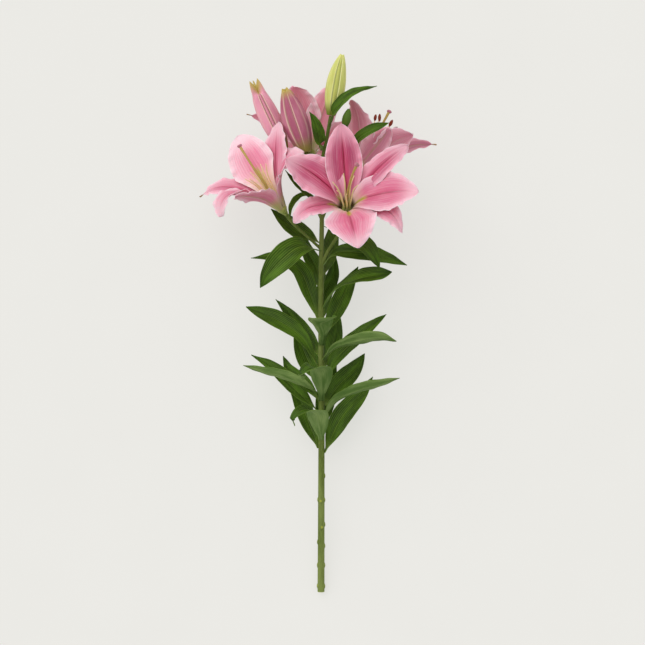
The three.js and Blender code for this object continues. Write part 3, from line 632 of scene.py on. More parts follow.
def petal_look(c):
    """Pink petal: pale margin, crimson streak and flush, whitish throat, rosy outer side; painted
    shade on the darker petals and deep in the throat, a painted highlight on the tips and painted
    light on blooms in shade.
    """
    look = Look("lily_petal", Subsurface_Weight=0.2, Subsurface_Radius=(1.0, 0.45, 0.5),
                Subsurface_Scale=0.002, Specular_IOR_Level=0.22)
    t, v, tone, seed = (look.value(k) for k in ("along", "across", "tone", "seed"))
    a = abs(v)
    up = t - look.value("reach")  # how far past the whitish foot
    grain = look.noise((v * 26.0, t * 2.2, seed), 1.0, 3.0, 0.6)
    clouds = look.noise((v * 2.2, t * 3.0, seed), 1.0, 2.0)
    wide = look.noise((v * 1.1, t * 1.6, seed + 5.0), 1.0, 1.0)
    veins = look.stripes(v + (clouds - 0.5) * 0.06, 9, 5.0)
    open_part = t.band(0.12, 0.34)
    margin = look.mix(tone * 0.75, c.petal_pale_and_painted_light, c.petal_pink)

    inner = look.coats(
        # Inner side: pink turning to mauve with each petal's tone, partly its own deeper colour and
        # partly painted shade on petals that face away from the light.
        look.mix(tone, c.petal_pink, c.petal_mauve_and_shade),
        (a.band(0.4, 1.0) * 0.9 + (clouds - 0.5) * 0.8, margin),
        # Pale tips: partly the tips' own paler pink and partly a painted highlight where they curl
        # toward the light.
        (t.band(0.66, 0.98) * (0.85 - 0.5 * tone), c.petal_pale_and_painted_light),
        ((wide - 0.45).band(0.0, 0.25) * 0.4, margin),
        (a.band(0.5, 0.0) * open_part * t.band(0.95, 0.5) * (0.26 + 0.5 * tone), c.petal_flush),
        (veins * open_part * t.band(1.0, 0.7) * a.band(0.98, 0.6) * 0.24, c.petal_flush),
        (a.band(0.085, 0.015) * t.band(0.2, 0.38) * t.band(0.98, 0.6) * (0.3 + 0.65 * tone),
         c.petal_streak),
        (up.band(0.12, -0.14) * (0.9 - 0.25 * a), c.throat),
        (a.band(0.24, 0.05) * up.band(0.14, 0.04) * 0.9, c.nectary),
        # Painted shade deep in the funnel, over the olive green at the very foot of the petals.
        (t.band(0.14, 0.05), c.throat_green_and_shade))
    outer = look.coats(
        # Outer side: the same mauve with the tone, partly its own colour and partly painted shade.
        look.mix(tone * a.band(1.0, 0.3), c.petal_outer, c.petal_mauve_and_shade),
        (a.band(0.45, 1.0) * 0.8 + (clouds - 0.5) * 0.6, margin),
        (veins * 0.3, c.petal_outer_deep),
        (a.band(0.15, 0.02) * t.band(1.0, 0.8) * (0.5 - 0.3 * look.value("broad")), c.petal_rib),
        (t.band(0.27, 0.08) * (1.0 - 0.3 * a), c.petal_base))
    colour = look.coats(
        look.mix(look.value("face"), outer, inner),
        # Painted light: a bloom's petals lifted towards pale, most on the blooms that lie in shade.
        (look.value("pale") * (0.4 + 0.6 * a), c.petal_pale_and_painted_light),
        (look.value("claw"), c.petal_rib),
        (a.band(0.95, 1.0) * t.band(0.2, 0.5) * 0.8, c.petal_rim),
        ((grain - 0.5).band(0.0, 0.25) * 0.32, c.petal_rim))
    return look.finish(colour, 0.4 + 0.16 * grain, grain * 0.5 + veins * 0.45, 0.00025)


def leaf_look(c):
    """Satin leaf: dark upper side with paler parallel veins, dull grey green below."""
    look = Look("lily_leaf", Specular_IOR_Level=0.16)
    t, v, face, seed = (look.value(k) for k in ("along", "across", "face", "seed"))
    a = abs(v)
    clouds = look.noise((v * 1.6, t * 3.2, seed), 1.0, 3.0)
    grain = look.noise((v * 30.0, t * 7.0, seed), 1.0, 3.0, 0.6)
    veins = look.stripes(v + (clouds - 0.5) * 0.03, 6, 10.0)
    midrib = a.band(0.09, 0.0)
    upper = look.coats(
        look.mix(clouds.band(0.3, 0.72), c.leaf_dark, c.leaf_green),
        (veins * 0.45 * t.band(1.0, 0.75), c.leaf_vein),
        (midrib * 0.5 * t.band(0.9, 0.3), c.leaf_vein),
        (t.band(0.2, 0.0) * 0.75, c.leaf_vein))
    lower = look.coats(
        look.mix(clouds.band(0.3, 0.75), c.leaf_under, c.leaf_under_pale),
        (veins * 0.3, c.leaf_green),
        (midrib * 0.6, c.leaf_under_pale))
    colour = look.coats(
        look.mix(face, lower, upper),
        (a.band(0.93, 1.0) * 0.4, c.leaf_vein),
        (grain.band(0.55, 0.8) * 0.25, c.leaf_green))
    rough = 0.62 - 0.2 * face + 0.12 * grain
    return look.finish(colour, rough, grain * 0.4 - veins * 0.5, 0.0002)


def stem_look(c):
    """Stalk and flower stems: olive green with fine streaks, a painted highlight on each leaf scar
    and a pale cut end.
    """
    look = Look("lily_stem", Specular_IOR_Level=0.2)
    streaks = look.streaks((900, 14, 900), 3.0, 0.6)
    clouds = look.streaks((60, 10, 60), 2.0)
    colour = look.coats(
        look.mix(streaks.band(0.3, 0.7), c.stem_dark, c.stem_green),
        (clouds.band(0.45, 0.75) * 0.5, c.stem_pale),
        (look.value("along").band(0.65, 0.9) * 0.5, c.stem_fresh),
        # Painted highlight on the cushions of the leaf scars.
        (look.value("scar") * 0.8, c.stem_scar_highlight),
        (look.value("cut"), c.stem_pith))
    return look.finish(colour, 0.5 + 0.15 * streaks, streaks + clouds * 0.3, 0.00025)


def bud_look(name, skin, shadow, deep, pale, tip, base):
    """Closed bud: three outer petals with pale ridges, the ribs of inner ones between them, and
    painted shade in the seams.
    """
    look = Look(name, Subsurface_Weight=0.15, Subsurface_Radius=(1.0, 0.6, 0.5),
                Subsurface_Scale=0.002, Specular_IOR_Level=0.22)
    t, v, rib, seed = (look.value(k) for k in ("along", "across", "rib", "seed"))
    a = abs(v)
    grain = look.noise((v * 14.0, t * 3.0, seed), 1.0, 3.0, 0.6)
    clouds = look.noise((v * 1.5, t * 3.0, seed), 1.0, 2.0)
    colour = look.coats(
        look.mix(look.value("shade") + clouds.band(0.35, 0.7) * 0.3 + rib * 0.2, skin, shadow),
        (a.band(0.2, 0.0) * 0.3 * (1 - rib), pale),
        (a.band(0.76, 0.97) * 0.85, pale),
        (grain.band(0.5, 0.8) * 0.14, pale),
        # Painted shade in the seams between the petals.
        (look.value("seam") * 0.85, deep),
        (t.band(0.8, 1.0) * 0.85, tip),
        (t.band(0.26, 0.02), base))
    return look.finish(colour, 0.5 + 0.12 * grain, grain, 0.0002)


def plain_look(name, first, second, scale, end=None, ends=(0.0, 1.0), depth=0.0002, **sockets):
    """Two colours in fine grains, turning to a third along the piece."""
    look = Look(name, **sockets)
    grain = look.noise(look.place(), scale, 3.0, 0.6)
    colour = look.mix(grain.band(0.3, 0.7), first, second)
    if end is not None:
        colour = look.mix(look.value("along").band(*ends), colour, end)
    return look.finish(colour, None, grain, depth)


# ---------------------------------------------------------------- sizes and colours

def colour(name, code, description):
    """A colour property, from a colour as it is seen."""
    seen = [int(code[k:k + 2], 16) / 255 for k in (0, 2, 4)]
    light = [c / 12.92 if c <= 0.04045 else ((c + 0.055) / 1.055) ** 2.4 for c in seen]
    return FloatVectorProperty(name=name, description=description, subtype="COLOR", size=3,
                               min=0, max=1, default=light)


def length(name, value, description):
    """A size in metres."""
    return FloatProperty(name=name, description=description, default=value, min=0, unit="LENGTH")


def strength(name, value, description):
    """How strong a light is."""
    return FloatProperty(name=name, description=description, default=value, min=0)


def rows(name, value, description):
    """A number of rows."""
    return IntProperty(name=name, description=description, default=value, min=8)


class LilySizes(bpy.types.PropertyGroup):
    """Fine sizes of the lily's skin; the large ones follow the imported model."""

    petal_thickness: length("Petal thickness", 0.0009, "Thickness of a petal at its midrib")
    petal_edge: length("Petal edge", 0.0004, "Thickness of a petal at its edge")
    petal_furrow: length("Petal furrow", 0.0011, "Depth of the channel along a petal's middle")
    petal_ripple: length("Petal ripple", 0.0011, "Height of the ripples in a petal's edge")
    leaf_thickness: length("Leaf thickness", 0.0007, "Thickness of a leaf at its midrib")
    leaf_vein: length("Leaf vein", 0.00022, "Depth of the veins pressed into a leaf")
    bud_seam: length("Bud seam", 0.0011, "Depth of the seams between a bud's petals")
    stem_grain: length("Stem grain", 0.0006, "Size of the cells the stem is skinned with")
    stigma: length("Stigma radius", 0.0031, "Radius of the knob at a pistil's end")
    anther: length("Anther length", 0.010, "Length of an anther")
    petal_rows: rows("Petal rows", 64, "Rows of points along a petal")
    leaf_rows: rows("Leaf rows", 44, "Rows of points along a leaf")


class LilyColours(bpy.types.PropertyGroup):
    """Colours of the lily and its floor."""

    petal_pink: colour("Petal pink", "ea8aa8", "Middle of a petal's inner side")
    # The mauve is partly the darker petals' own colour and partly painted shade on petals that face
    # away from the light.
    petal_mauve_and_shade: colour("Petal mauve", "b04e70", "Middle of a darker petal's inner side")
    # The pale margins are the petals' own colour; this colour also carries the painted highlight on
    # the tips and the painted light on blooms in shade.
    petal_pale_and_painted_light: colour("Petal pale", "fad6e0", "Outer part of a petal's inner side")
    petal_rim: colour("Petal rim", "fbe6ec", "Thin edge of a petal")
    petal_flush: colour("Petal flush", "c43664", "Deep pink about a petal's midrib")
    petal_streak: colour("Petal streak", "8c0530", "Line along a petal's middle")
    throat: colour("Throat", "f4dcc4", "Foot of the petals' inner side")
    # Dark olive at the foot of the petals: painted shade deep in the throat over its green.
    throat_green_and_shade: colour("Throat deep", "4a400c", "Floor of the throat")
    nectary: colour("Nectary", "b4ae34", "Furrow at a petal's foot")
    petal_outer: colour("Petal outer", "e9869f", "Outer side of a petal")
    petal_outer_deep: colour("Petal outer deep", "bf5b7a", "Veins of a petal's outer side")
    petal_rib: colour("Petal rib", "a08250", "Ridge along a petal's outer side")
    petal_base: colour("Petal base", "a8ae58", "Foot of a petal's outer side")
    leaf_dark: colour("Leaf dark", "253f05", "Darker upper side of a leaf")
    leaf_green: colour("Leaf green", "496d10", "Lighter upper side of a leaf")
    leaf_vein: colour("Leaf vein", "7a9438", "Veins and foot of a leaf")
    leaf_under: colour("Leaf under", "527030", "Under side of a leaf")
    leaf_under_pale: colour("Leaf under pale", "839a58", "Paler under side of a leaf")
    stem_green: colour("Stem green", "6a7a34", "Skin of the stem")
    stem_dark: colour("Stem dark", "505e22", "Streaks of the stem")
    stem_pale: colour("Stem pale", "8c9a54", "Pale patches of the stem")
    stem_fresh: colour("Stem fresh", "4d6a1c", "Stem near the blooms")
    # The scars are the stem's own green; this lighter colour is a painted highlight on their
    # cushions.
    stem_scar_highlight: colour("Stem scar", "a2a83c", "Scars of fallen leaves")
    stem_pith: colour("Stem pith", "c9cf8a", "Cut end of the stem")
    bud_pink: colour("Bud pink", "eea6ba", "Skin of a pink bud")
    bud_mauve: colour("Bud mauve", "ab5a74", "Darker skin of a pink bud")
    # Painted shade in the seams between a pink bud's petals.
    bud_seam_shade: colour("Bud deep", "7c3a3c", "Seams of a pink bud")
    bud_pale: colour("Bud pale", "f6d6c4", "Ridges of a pink bud")
    bud_tip: colour("Bud tip", "bdb04a", "Tip of a pink bud")
    bud_base: colour("Bud base", "8f8442", "Foot of a pink bud")
    bud_green: colour("Bud green", "dadc86", "Skin of a green bud")
    bud_green_deep: colour("Bud green deep", "a3a83c", "Seams of a green bud")
    bud_green_pale: colour("Bud green pale", "f2eeb0", "Ridges of a green bud")
    bud_green_base: colour("Bud green base", "7c8a34", "Foot of a green bud")
    filament: colour("Filament", "e6d79a", "Stalk of a stamen")
    filament_foot: colour("Filament foot", "c9cf8a", "Foot of a stamen")
    anther: colour("Anther", "6b241b", "Pollen of an anther")
    anther_light: colour("Anther light", "93432c", "Lighter pollen grains")
    style: colour("Style", "b39a4a", "Neck of the pistil")
    style_green: colour("Style green", "8c8434", "Darker green of the pistil")
    stigma: colour("Stigma", "9a7673", "Knob at the pistil's end")
    floor: colour("Floor", "7c7b78", "Table top")


class LilyStage(bpy.types.PropertyGroup):
    """Light and camera."""

    key: strength("Key light", 1.5, "Strength of the soft light from the upper left")
    fill: strength("Fill light", 0.66, "Strength of the even light all round")
    glow: strength("Table glow", 0.63, "Light given off by the table top, as from a light table")
    softness: FloatProperty(name="Key softness", description="Width of the key light in the sky",
                            default=math.radians(75), subtype="ANGLE")
    distance: length("Camera distance", 2.2, "From the camera to the stalk")
    view: length("View width", 0.8385, "Width of what the camera sees at the stalk")


# ---------------------------------------------------------------- stem

def stem_ends():
    """Foot, direction and radius where each flower stem meets its bloom or bud."""
    ends = {}
    for name, bloom in BLOOMS.items():
        axis = unit(bloom["axis"])
        ends[name] = np.array(bloom["foot"]) - RECEPTACLE_DEPTH * axis, axis, RECEPTACLE[0][2]
    least, share = BUD_NECK
    for name, (foot, radius, way, *_) in BUDS.items():
        ends[name] = np.array(foot, float), unit(np.subtract(way[0], foot)), least + share * radius
    return ends


def on_stalk(height, side, sunk):
    """A place at a height and side of the stalk, sunk under its skin."""
    u = np.interp(height, STALK_WAY.points[:, 1], STALK_WAY.share)
    return STALK_WAY.at(u) + sideways(side) * (float(STALK_WAY.radius(u)) - sunk)


def scar_rings(height, side):
    """The cushion of a fallen leaf as rings of points."""
    out = sideways(side)
    across = np.cross(out, ALONG_STALK)
    lean = math.radians(SCAR_LEAN)
    long_way = ALONG_STALK * math.cos(lean) + across * math.sin(lean)
    wide_way = across * math.cos(lean) - ALONG_STALK * math.sin(lean)
    u, angle = np.linspace(0.04, 0.96, 9)[:, None] * np.pi, round_angles(14)
    ball = np.sin(u) * np.cos(angle), np.cos(u) + 0 * angle, np.sin(u) * np.sin(angle)
    steps = zip(SCAR_SIZE, ball, (long_way, wide_way, out))
    rings = on_stalk(height, side, SCAR_SUNK) + sum((r * b)[..., None] * w for r, b, w in steps)
    return rings[::-1]


def build_stem(sizes, material):
    """The stalk with its flower stems, grown together, and the cushions of its lower leaves."""
    shell = Shell()
    shell.tube(STALK_WAY, STALK_CELLS)
    for name, (end, axis, radius) in stem_ends().items():
        if name in FLOWER_STEMS:  # the green bud stands on the stalk itself
            neck = [(*(end - axis * back), radius) for back in (NECK, 0.0)]
            shell.tube(Way([*FLOWER_STEMS[name], *neck]), FLOWER_STEM_CELLS)
    for scar in SCARS:
        shell.rings(scar_rings(*scar))
    rough = shell.piece("lily_stem_rough", [])
    join = rough.modifiers.new("grow together", "REMESH")
    join.mode, join.voxel_size = "VOXEL", sizes.stem_grain
    smooth = rough.modifiers.new("smooth", "SMOOTH")
    smooth.factor, smooth.iterations = 0.5, 3
    grown = rough.evaluated_get(bpy.context.evaluated_depsgraph_get())
    mesh = bpy.data.meshes.new_from_object(grown)
    bpy.data.objects.remove(rough)
    mesh.name = "lily_stem"
    mesh.materials.clear()
    mesh.materials.append(material)
    places = np.zeros(len(mesh.vertices) * 3)
    mesh.vertices.foreach_get("co", places)
    plant = (places.reshape(-1, 3) / MM - PLANT_AT) @ TURNED
    outside, higher = SCAR_MARK
    marks = np.array([on_stalk(*scar, -outside) for scar in SCARS]) + higher * ALONG_STALK
    near = np.linalg.norm(plant[:, None] - marks, axis=2).min(1)
    # Where the painted highlight on each scar's cushion lies.
    keep_values(mesh, "scar", ease(near, *SCAR_FADE))
    keep_values(mesh, "along", plant[:, 1] / STALK_LENGTH)
    keep_values(mesh, "cut", ease(plant[:, 1], *CUT_FADE))
    mesh.shade_smooth()
    settle(new_object(mesh), "stem")


# ---------------------------------------------------------------- leaves

def half_width(width, shape, widest, t):
    """Half width of a blade at t."""
    power = math.log(0.5) / math.log(widest)
    sharp = shape["blunt"] + TAPER * max(0, 0.5 - widest)
    swell = np.abs(np.sin(np.pi * np.clip(t, 0, 1) ** power)) ** sharp
    narrow = shape["foot"] * ease(t / widest, 1, 0)
    return np.maximum(width / 2 * np.maximum(swell, narrow), LEAST_WIDTH)


def blade_rows(count):
    """Shares along a blade, closer together at its ends."""
    s = np.linspace(0, 1, count)
    return 0.45 * s + 0.55 * (0.5 - 0.5 * np.cos(np.pi * s))


def build_leaf(name, foot, width, widest, faces, way, sizes, material, seed):
    """A leaf, folded along its midrib, waved, rippled at its edges and veined."""
    curve = Way([foot, *way])
    t, v = blade_rows(sizes.leaf_rows), np.linspace(-1, 1, LEAF_COLUMNS)
    T, V = np.meshgrid(t, v, indexing="ij")
    forward = curve.along(t)
    turned = ease(t, 0, 0.32)
    looks = np.radians((faces[0] + (faces[1] - faces[0]) * t) * turned)
    out = np.stack([0 * t, np.cos(looks), np.sin(looks)], -1)
    out = unit(out - forward * (out * forward).sum(-1, keepdims=True))
    across = np.cross(forward, out)
    half = half_width(width, LEAF, widest, t)[:, None]
    wave = LEAF_WAVE[0] * waves(LEAF_WAVE[1] * T + V / 4) * (1 - T)
    ripple = LEAF_RIPPLE[0] * waves(LEAF_RIPPLE[1] * T + seed + 0.2 * V) * ease(T, 0.15, 0.4) * V**4
    veins = -sizes.leaf_vein / MM * np.abs(np.cos(np.pi * 3 * V)) ** 8 * (1 - np.abs(V) ** 6)
    groove = -LEAF_GROOVE[0] * bell(V * half, 0, LEAF_GROOVE[1])
    groove = groove * ease(T, 0.02, 0.2) * ease(T, 1, 0.7)
    lift = (half * LEAF_FOLD + wave) * turned[:, None] * V**2 + ripple + veins + groove
    grid = curve.at(t)[:, None] + across[:, None] * (half * v)[..., None]
    grid = on_table(grid + out[:, None] * lift[..., None], LEAF_BODY)
    thickness = sizes.leaf_thickness / MM * (1 - 0.45 * V**2)
    shell = Shell()
    shell.sheet(grid, thickness, along=T, across=V, seed=seed * 7.3)
    shell.stand_for(name, [material])


# ---------------------------------------------------------------- blooms

def petal_grid(petal, layer, bloom, sizes):
    """Middle surface of a petal from the funnel to its tip: rows along it, columns across."""
    round_at, opened, curl, sway, twist, long, wide, widest, claw = petal
    # The petal's own curve: how far it leans from the axis at each step, and where it gets to.
    steps = np.linspace(0, 1, PETAL_STEPS + 1)
    first = bloom["lean"] + layer["lean"]
    lean = first + (opened - first) * ease(steps, *bloom["opening"]) + curl * ease(steps, 0.5, 1)
    lean = np.radians(lean)
    step = PETAL_LENGTH * long / PETAL_STEPS
    radius = np.concatenate([[0], np.cumsum(np.sin(lean[:-1]) * step)])
    radius += FUNNEL_RADIUS + layer["step"]
    rise = np.concatenate([[0], np.cumsum(np.cos(lean[:-1]) * step)])
    t, v = blade_rows(sizes.petal_rows), np.linspace(1, -1, PETAL_COLUMNS)
    T, V = np.meshgrid(t, v, indexing="ij")
    lean, radius, rise = (np.interp(t, steps, k) for k in (lean, radius, rise))
    # Which way it goes across and which way its inner side looks, turned and twisted along it.
    turn, spin, flat = np.radians(round_at + sway * t * t), np.radians(twist * t)[:, None], 0 * t
    out_way = np.stack([np.cos(turn), np.sin(turn), flat], -1)
    tangent = np.stack([-np.sin(turn), np.cos(turn), flat], -1)
    inward = -out_way * np.cos(lean)[:, None] + np.stack([flat, flat, np.sin(lean)], -1)
    across = tangent * np.cos(spin) + inward * np.sin(spin)
    inside = inward * np.cos(spin) - tangent * np.sin(spin)
    # Its width, and the bow across it that flattens away from the funnel.
    end = 1 - CLAW[0] * claw
    half = half_width(layer["width"] * wide, layer, widest, t / end)
    half = np.where(t > end, CLAW[1], np.maximum(half, CLAW[1] * claw))
    half = np.minimum(half, FOOT_WRAP * radius)[:, None]
    bow = (1 / radius + (BOW - 1 / radius) * ease(t, 0.15, 0.6))[:, None]
    # Relief: long waves, ripples in the edges, the furrow and the swellings beside it.
    wave = PETAL_WAVE[0] * waves(PETAL_WAVE[1] * T + round_at / 90 + V / 4)
    wave = wave * ease(T, 0.3, 0.6) * V**2
    coarse, fine = PETAL_RIPPLES
    ripple = waves(coarse * T + round_at / 50 + 0.3 * V) + 0.5 * waves(fine * T - round_at / 31)
    ripple = ripple * ease(np.abs(V), 0.55, 1) * ease(T, 0.3, 0.5) * ease(T, 1, 0.85)
    furrow = bell(V * half, 0, FURROW_WIDTH) * ease(T, 0.0, 0.15) * ease(T, 1, 0.7)
    swell = SWELLING[0] * bell((np.abs(V) - SWELLING[1]) * half, 0, SWELLING[2])
    swell = swell * ease(T, 0.05, 0.25) * ease(T, 0.95, 0.5)
    relief = wave + (sizes.petal_ripple * ripple - sizes.petal_furrow * furrow) / MM + swell
    lift = (1 - np.cos(bow * half * v)) / bow + relief
    local = out_way[:, None] * radius[:, None, None] + np.array([0, 0, 1]) * rise[:, None, None]
    local = local + across[:, None] * (np.sin(bow * half * v) / bow)[..., None]
    local = local + inside[:, None] * lift[..., None]
    return on_table(in_bloom(bloom, local), PETAL_BODY), T, V


def build_petals(name, bloom, sizes, materials):
    """Two rings of petals on their receptacle: three inner ones, and the outer ones between."""
    shell = Shell()
    u, angle = np.linspace(0, 1, RECEPTACLE_CELLS[0]), round_angles(RECEPTACLE_CELLS[1])
    shares, levels, radii = zip(*RECEPTACLE)
    height = np.interp(u, shares, levels)
    lobes = 1 + RECEPTACLE_LOBES * np.cos(3 * (angle - np.radians(bloom["outer"][0][0])))
    lobes = np.interp(height, levels, radii)[:, None] * lobes
    ring = [lobes * np.cos(angle), lobes * np.sin(angle), height[:, None] + 0 * angle]
    shell.rings(in_bloom(bloom, np.stack(ring, -1)), slot=1, along=u[:, None])
    edge, middle = sizes.petal_edge, sizes.petal_thickness
    for layer, broad, key, first in ((OUTER, 0.0, "outer", 3), (INNER, 1.0, "inner", 0)):
        # Each petal's tone: partly its own deeper colour, partly painted shade where it faces away
        # from the light.
        for petal, tone in zip(bloom[key], bloom["tones_and_shades"][first:]):
            grid, T, V = petal_grid(petal, layer, bloom, sizes)
            thickness = (edge + (middle - edge) * (1 - np.abs(V) ** 1.5)) / MM
            # pale carries the painted light on blooms that lie in shade.
            shell.sheet(grid, thickness, along=T, across=V, broad=broad, tone=tone,
                        reach=bloom["throat"] - 0.25 * tone, pale=bloom["pale"],
                        claw=petal[-1] * ease(T, 0.93, 0.965), seed=petal[0] * 0.37)
    shell.stand_for(f"bloom_{name}_petals", materials)


def anther_radius(u, angle):
    """Radius of an anther: blunt at both ends, with a groove along it and coarse grains."""
    body = ANTHER_RADIUS * np.sin(np.pi * np.clip(u, 0.02, 0.98)) ** 0.55
    groove = ANTHER_GROOVE * bell(np.cos(angle), 1, 0.12)
    return body * (1 - groove + ANTHER_GRAIN * np.sin(9 * angle + 30 * u))


def build_stamens(name, bloom, sizes, materials):
    """Six stamens round the pistil, with anthers where the bloom keeps them."""
    rng = np.random.default_rng(len(name) * 11)
    shell = Shell()
    half_anther = sizes.anther / MM / 2
    reach, apart = bloom["stamens"]
    x, y = bloom["pistil"]
    for k in range(6):
        turn = math.atan2(y, x) + math.radians(30 + 60 * k)
        outward = np.array([math.cos(turn), math.sin(turn), 0])
        sideward = np.array([-math.sin(turn), math.cos(turn), 0])
        aside = rng.uniform(-STRAY["aside"], STRAY["aside"])
        spread = STAMEN_RING + apart + rng.uniform(-STRAY["spread"], STRAY["spread"])
        top = reach + rng.uniform(-STRAY["reach"], 0)

        def way(points):
            """Points given by how far out, how high and how far aside, each with its radius."""
            return bloom_way(bloom, [(*(out * outward + side * sideward + (0, 0, high)), radius)
                                     for out, high, side, radius in points])

        filament = way([(STAMEN_RING, FLOOR - 1, 0, 1.3),
                        (STAMEN_RING + 3, top * 0.4, aside * 0.4, 1.0),
                        (spread * 0.62, top * 0.77, aside, 0.85), (spread, top, aside, 0.5)])
        shell.tube(filament, FILAMENT_CELLS)
        if bloom["anthers"]:
            tilt = rng.uniform(-STRAY["tilt"], STRAY["tilt"])
            lean, climb = (half_anther * share for share in ANTHER_LEAN)
            anther = way([(spread + lean * p, top + climb * p, aside + tilt * p, 1)
                          for p in (-1, -0.4, 0.4, 1)])
            shell.tube(anther, ANTHER_CELLS, anther_radius, 1)
    shell.stand_for(f"bloom_{name}_stamens", materials)


def build_pistil(name, bloom, sizes, materials):
    """Ribbed ovary, long style and three-lobed stigma."""
    shell = Shell()
    x, y = bloom["pistil"]
    # The ovary and the style: share of the whole way aside, height and radius.
    rows = [(0, FLOOR - 1, 2.0), (0, FLOOR + 8.5, 2.3), (0.03, FLOOR + 17, 1.6),
            (0.3, PISTIL_REACH * 0.55, 1.35), (0.66, PISTIL_REACH * 0.82, 1.4),
            (1, PISTIL_REACH * 0.99, 1.9)]
    neck = bloom_way(bloom, [(x * k, y * k, height, radius) for k, height, radius in rows])

    def ribbed(u, angle):
        """Radius of the neck, with six ribs on the ovary."""
        return neck.radius(u) * (1 + OVARY_RIBS * ease(u, 0.24, 0.16) * np.cos(6 * angle))

    shell.tube(neck, NECK_CELLS, ribbed)
    size = sizes.stigma / MM
    axis = neck.along(np.array([1.0]))[0]
    first = unit(np.cross(axis, [1, 0.2, 0]))
    second = np.cross(axis, first)
    u, angle = np.linspace(0.05, 0.95, 15)[:, None] * np.pi, round_angles(36)
    lobes = size * (1 + STIGMA_LOBES * np.cos(3 * angle)) * np.sin(u)
    top = STIGMA_SEAMS * np.abs(np.cos(1.5 * angle)) ** 6 - STIGMA_DIP
    height = -np.cos(u) * size * STIGMA_FLAT + ease(u, 1.6, 3.0) * top
    ring = lobes[..., None] * (first * np.cos(angle)[:, None] + second * np.sin(angle)[:, None])
    end = in_bloom(bloom, (x, y, PISTIL_REACH))
    shell.rings(end + ring + height[..., None] * axis, slot=1, along=u / np.pi)
    shell.stand_for(f"bloom_{name}_pistil", materials)


# ---------------------------------------------------------------- buds

def build_bud(name, spec, sizes, material):
    """A closed bud: three outer petals, the ribs of the inner ones in the seams between them."""
    foot, radius, points, turn, apart, edge, shade, slot = spec
    way = Way([foot, *points])
    u, angle = blade_rows(BUD_CELLS[0]), round_angles(BUD_CELLS[1])
    rows = u[:, None]
    local = (np.degrees(angle) - turn + 60) % 120 - 60  # from the middle of an outer petal
    a = np.abs(local)
    rib = ease(a, edge + 1, edge + 4)
    seam = bell(a, edge, 2.6)
    swell = np.maximum(radius * np.sin(np.pi * (0.09 + 0.87 * rows) ** 0.95) ** 0.75, 0.8)
    deep = np.minimum(sizes.bud_seam / MM, 0.16 * swell)
    ridge = 0.35 * bell(a, edge - 6, 4) - 0.5 * rib * ease(a, 60, edge + 4)
    shape = swell * (1 + 0.045 * np.cos(np.radians(3 * local)))
    shape = shape + deep * (ridge - seam * ease(rows, 0.0, 0.15))
    # Towards the tip the three petals stand apart and the seams between them fall back.
    tip = ease(rows, 1 - 1.7 * apart / way.length, 1)
    middle = bell(local, 0, 26)
    shape = shape * (1 - 0.85 * tip * (1 - middle)) + tip * middle * apart * 0.22
    back = (tip * (1 - middle))[..., None] * way.along(u)[:, None] * apart
    rings = way.at(u)[:, None] + round_way(way, u, angle) * shape[..., None] - back
    across = np.where(a < edge, local / edge, (60 - a) / (60 - edge))
    shell = Shell()
    shell.rings(rings, along=rows, across=across, seam=seam, rib=rib, shade=shade,
                seed=len(points) + radius)
    shell.stand_for(name, [material])


# ---------------------------------------------------------------- stage

def build_stage(stage, colours):
    """Pale table top, even soft light, a key light from the upper left, and the camera."""
    mesh = bpy.data.meshes.new("table_top")
    x = y = TABLE_REACH
    mesh.from_pydata([(-x, -y, 0), (x, -y, 0), (x, y, 0), (-x, y, 0)], [], [(0, 1, 2, 3)])
    # The table top gives off light of its own, which lightens the shadows cast on it.
    look = Look("table_top", Roughness=0.9, Specular_IOR_Level=0.1, Emission_Strength=stage.glow,
                Emission_Color=TABLE_LIGHT)
    grain = look.noise(look.place(), 9.0, 2.0) * 0.06
    mesh.materials.append(look.finish(look.mix(grain, colours.floor, TABLE_GRAIN)))
    table = new_object(mesh)
    table.location.z = -TABLE_DROP

    world = bpy.data.worlds.new("soft_room")
    world.use_nodes = True
    sky = world.node_tree.nodes["Background"]
    sky.inputs["Color"].default_value = SKY_LIGHT
    sky.inputs["Strength"].default_value = stage.fill

    key = bpy.data.lights.new("key_light", "SUN")
    key.energy, key.angle, key.color = stage.key, stage.softness, LAMP_LIGHT
    lamp = new_object(key)
    lamp.rotation_euler = Vector(LAMP_FROM).to_track_quat("Z", "Y").to_euler()
    lamp.location = LAMP_AT

    lens = bpy.data.cameras.new("camera")
    lens.angle = 2 * math.atan(stage.view / 2 / stage.distance)
    lens.clip_end = FAR_END
    camera = new_object(lens)
    place = to_world(np.array([*AIM, stage.distance / MM]))
    camera.matrix_world = Matrix.Translation(place.tolist()) @ TURN

    scene = bpy.context.scene
    scene.world, scene.camera = world, camera
    scene.view_settings.view_transform = "Standard"


# ---------------------------------------------------------------- operators and panel

class LILY_OT_stem(bpy.types.Operator):
    """Grow the stalk, the flower stems and the cushions of the fallen leaves"""

    bl_idname = "lily.stem"
    bl_label = "Stem"
    bl_options = {"REGISTER", "UNDO"}

    def execute(self, context):
        scene = context.scene
        build_stem(scene.lily_sizes, stem_look(scene.lily_colours))
        return {"FINISHED"}


class LILY_OT_leaves(bpy.types.Operator):
    """Make the leaves of the stalk and the small ones between the flower stems"""

    bl_idname = "lily.leaves"
    bl_label = "Leaves"
    bl_options = {"REGISTER", "UNDO"}

    def execute(self, context):
        sizes, material = context.scene.lily_sizes, leaf_look(context.scene.lily_colours)
        for k, (name, (height, side, *rest)) in enumerate(LEAVES.items()):
            build_leaf(name, on_stalk(height, side, LEAF_SUNK), *rest, sizes, material, k * 0.37)
        for k, (name, (foot, *rest)) in enumerate(BRACTS.items()):
            build_leaf(name, foot, *rest, sizes, material, 11 + k * 0.53)
        return {"FINISHED"}


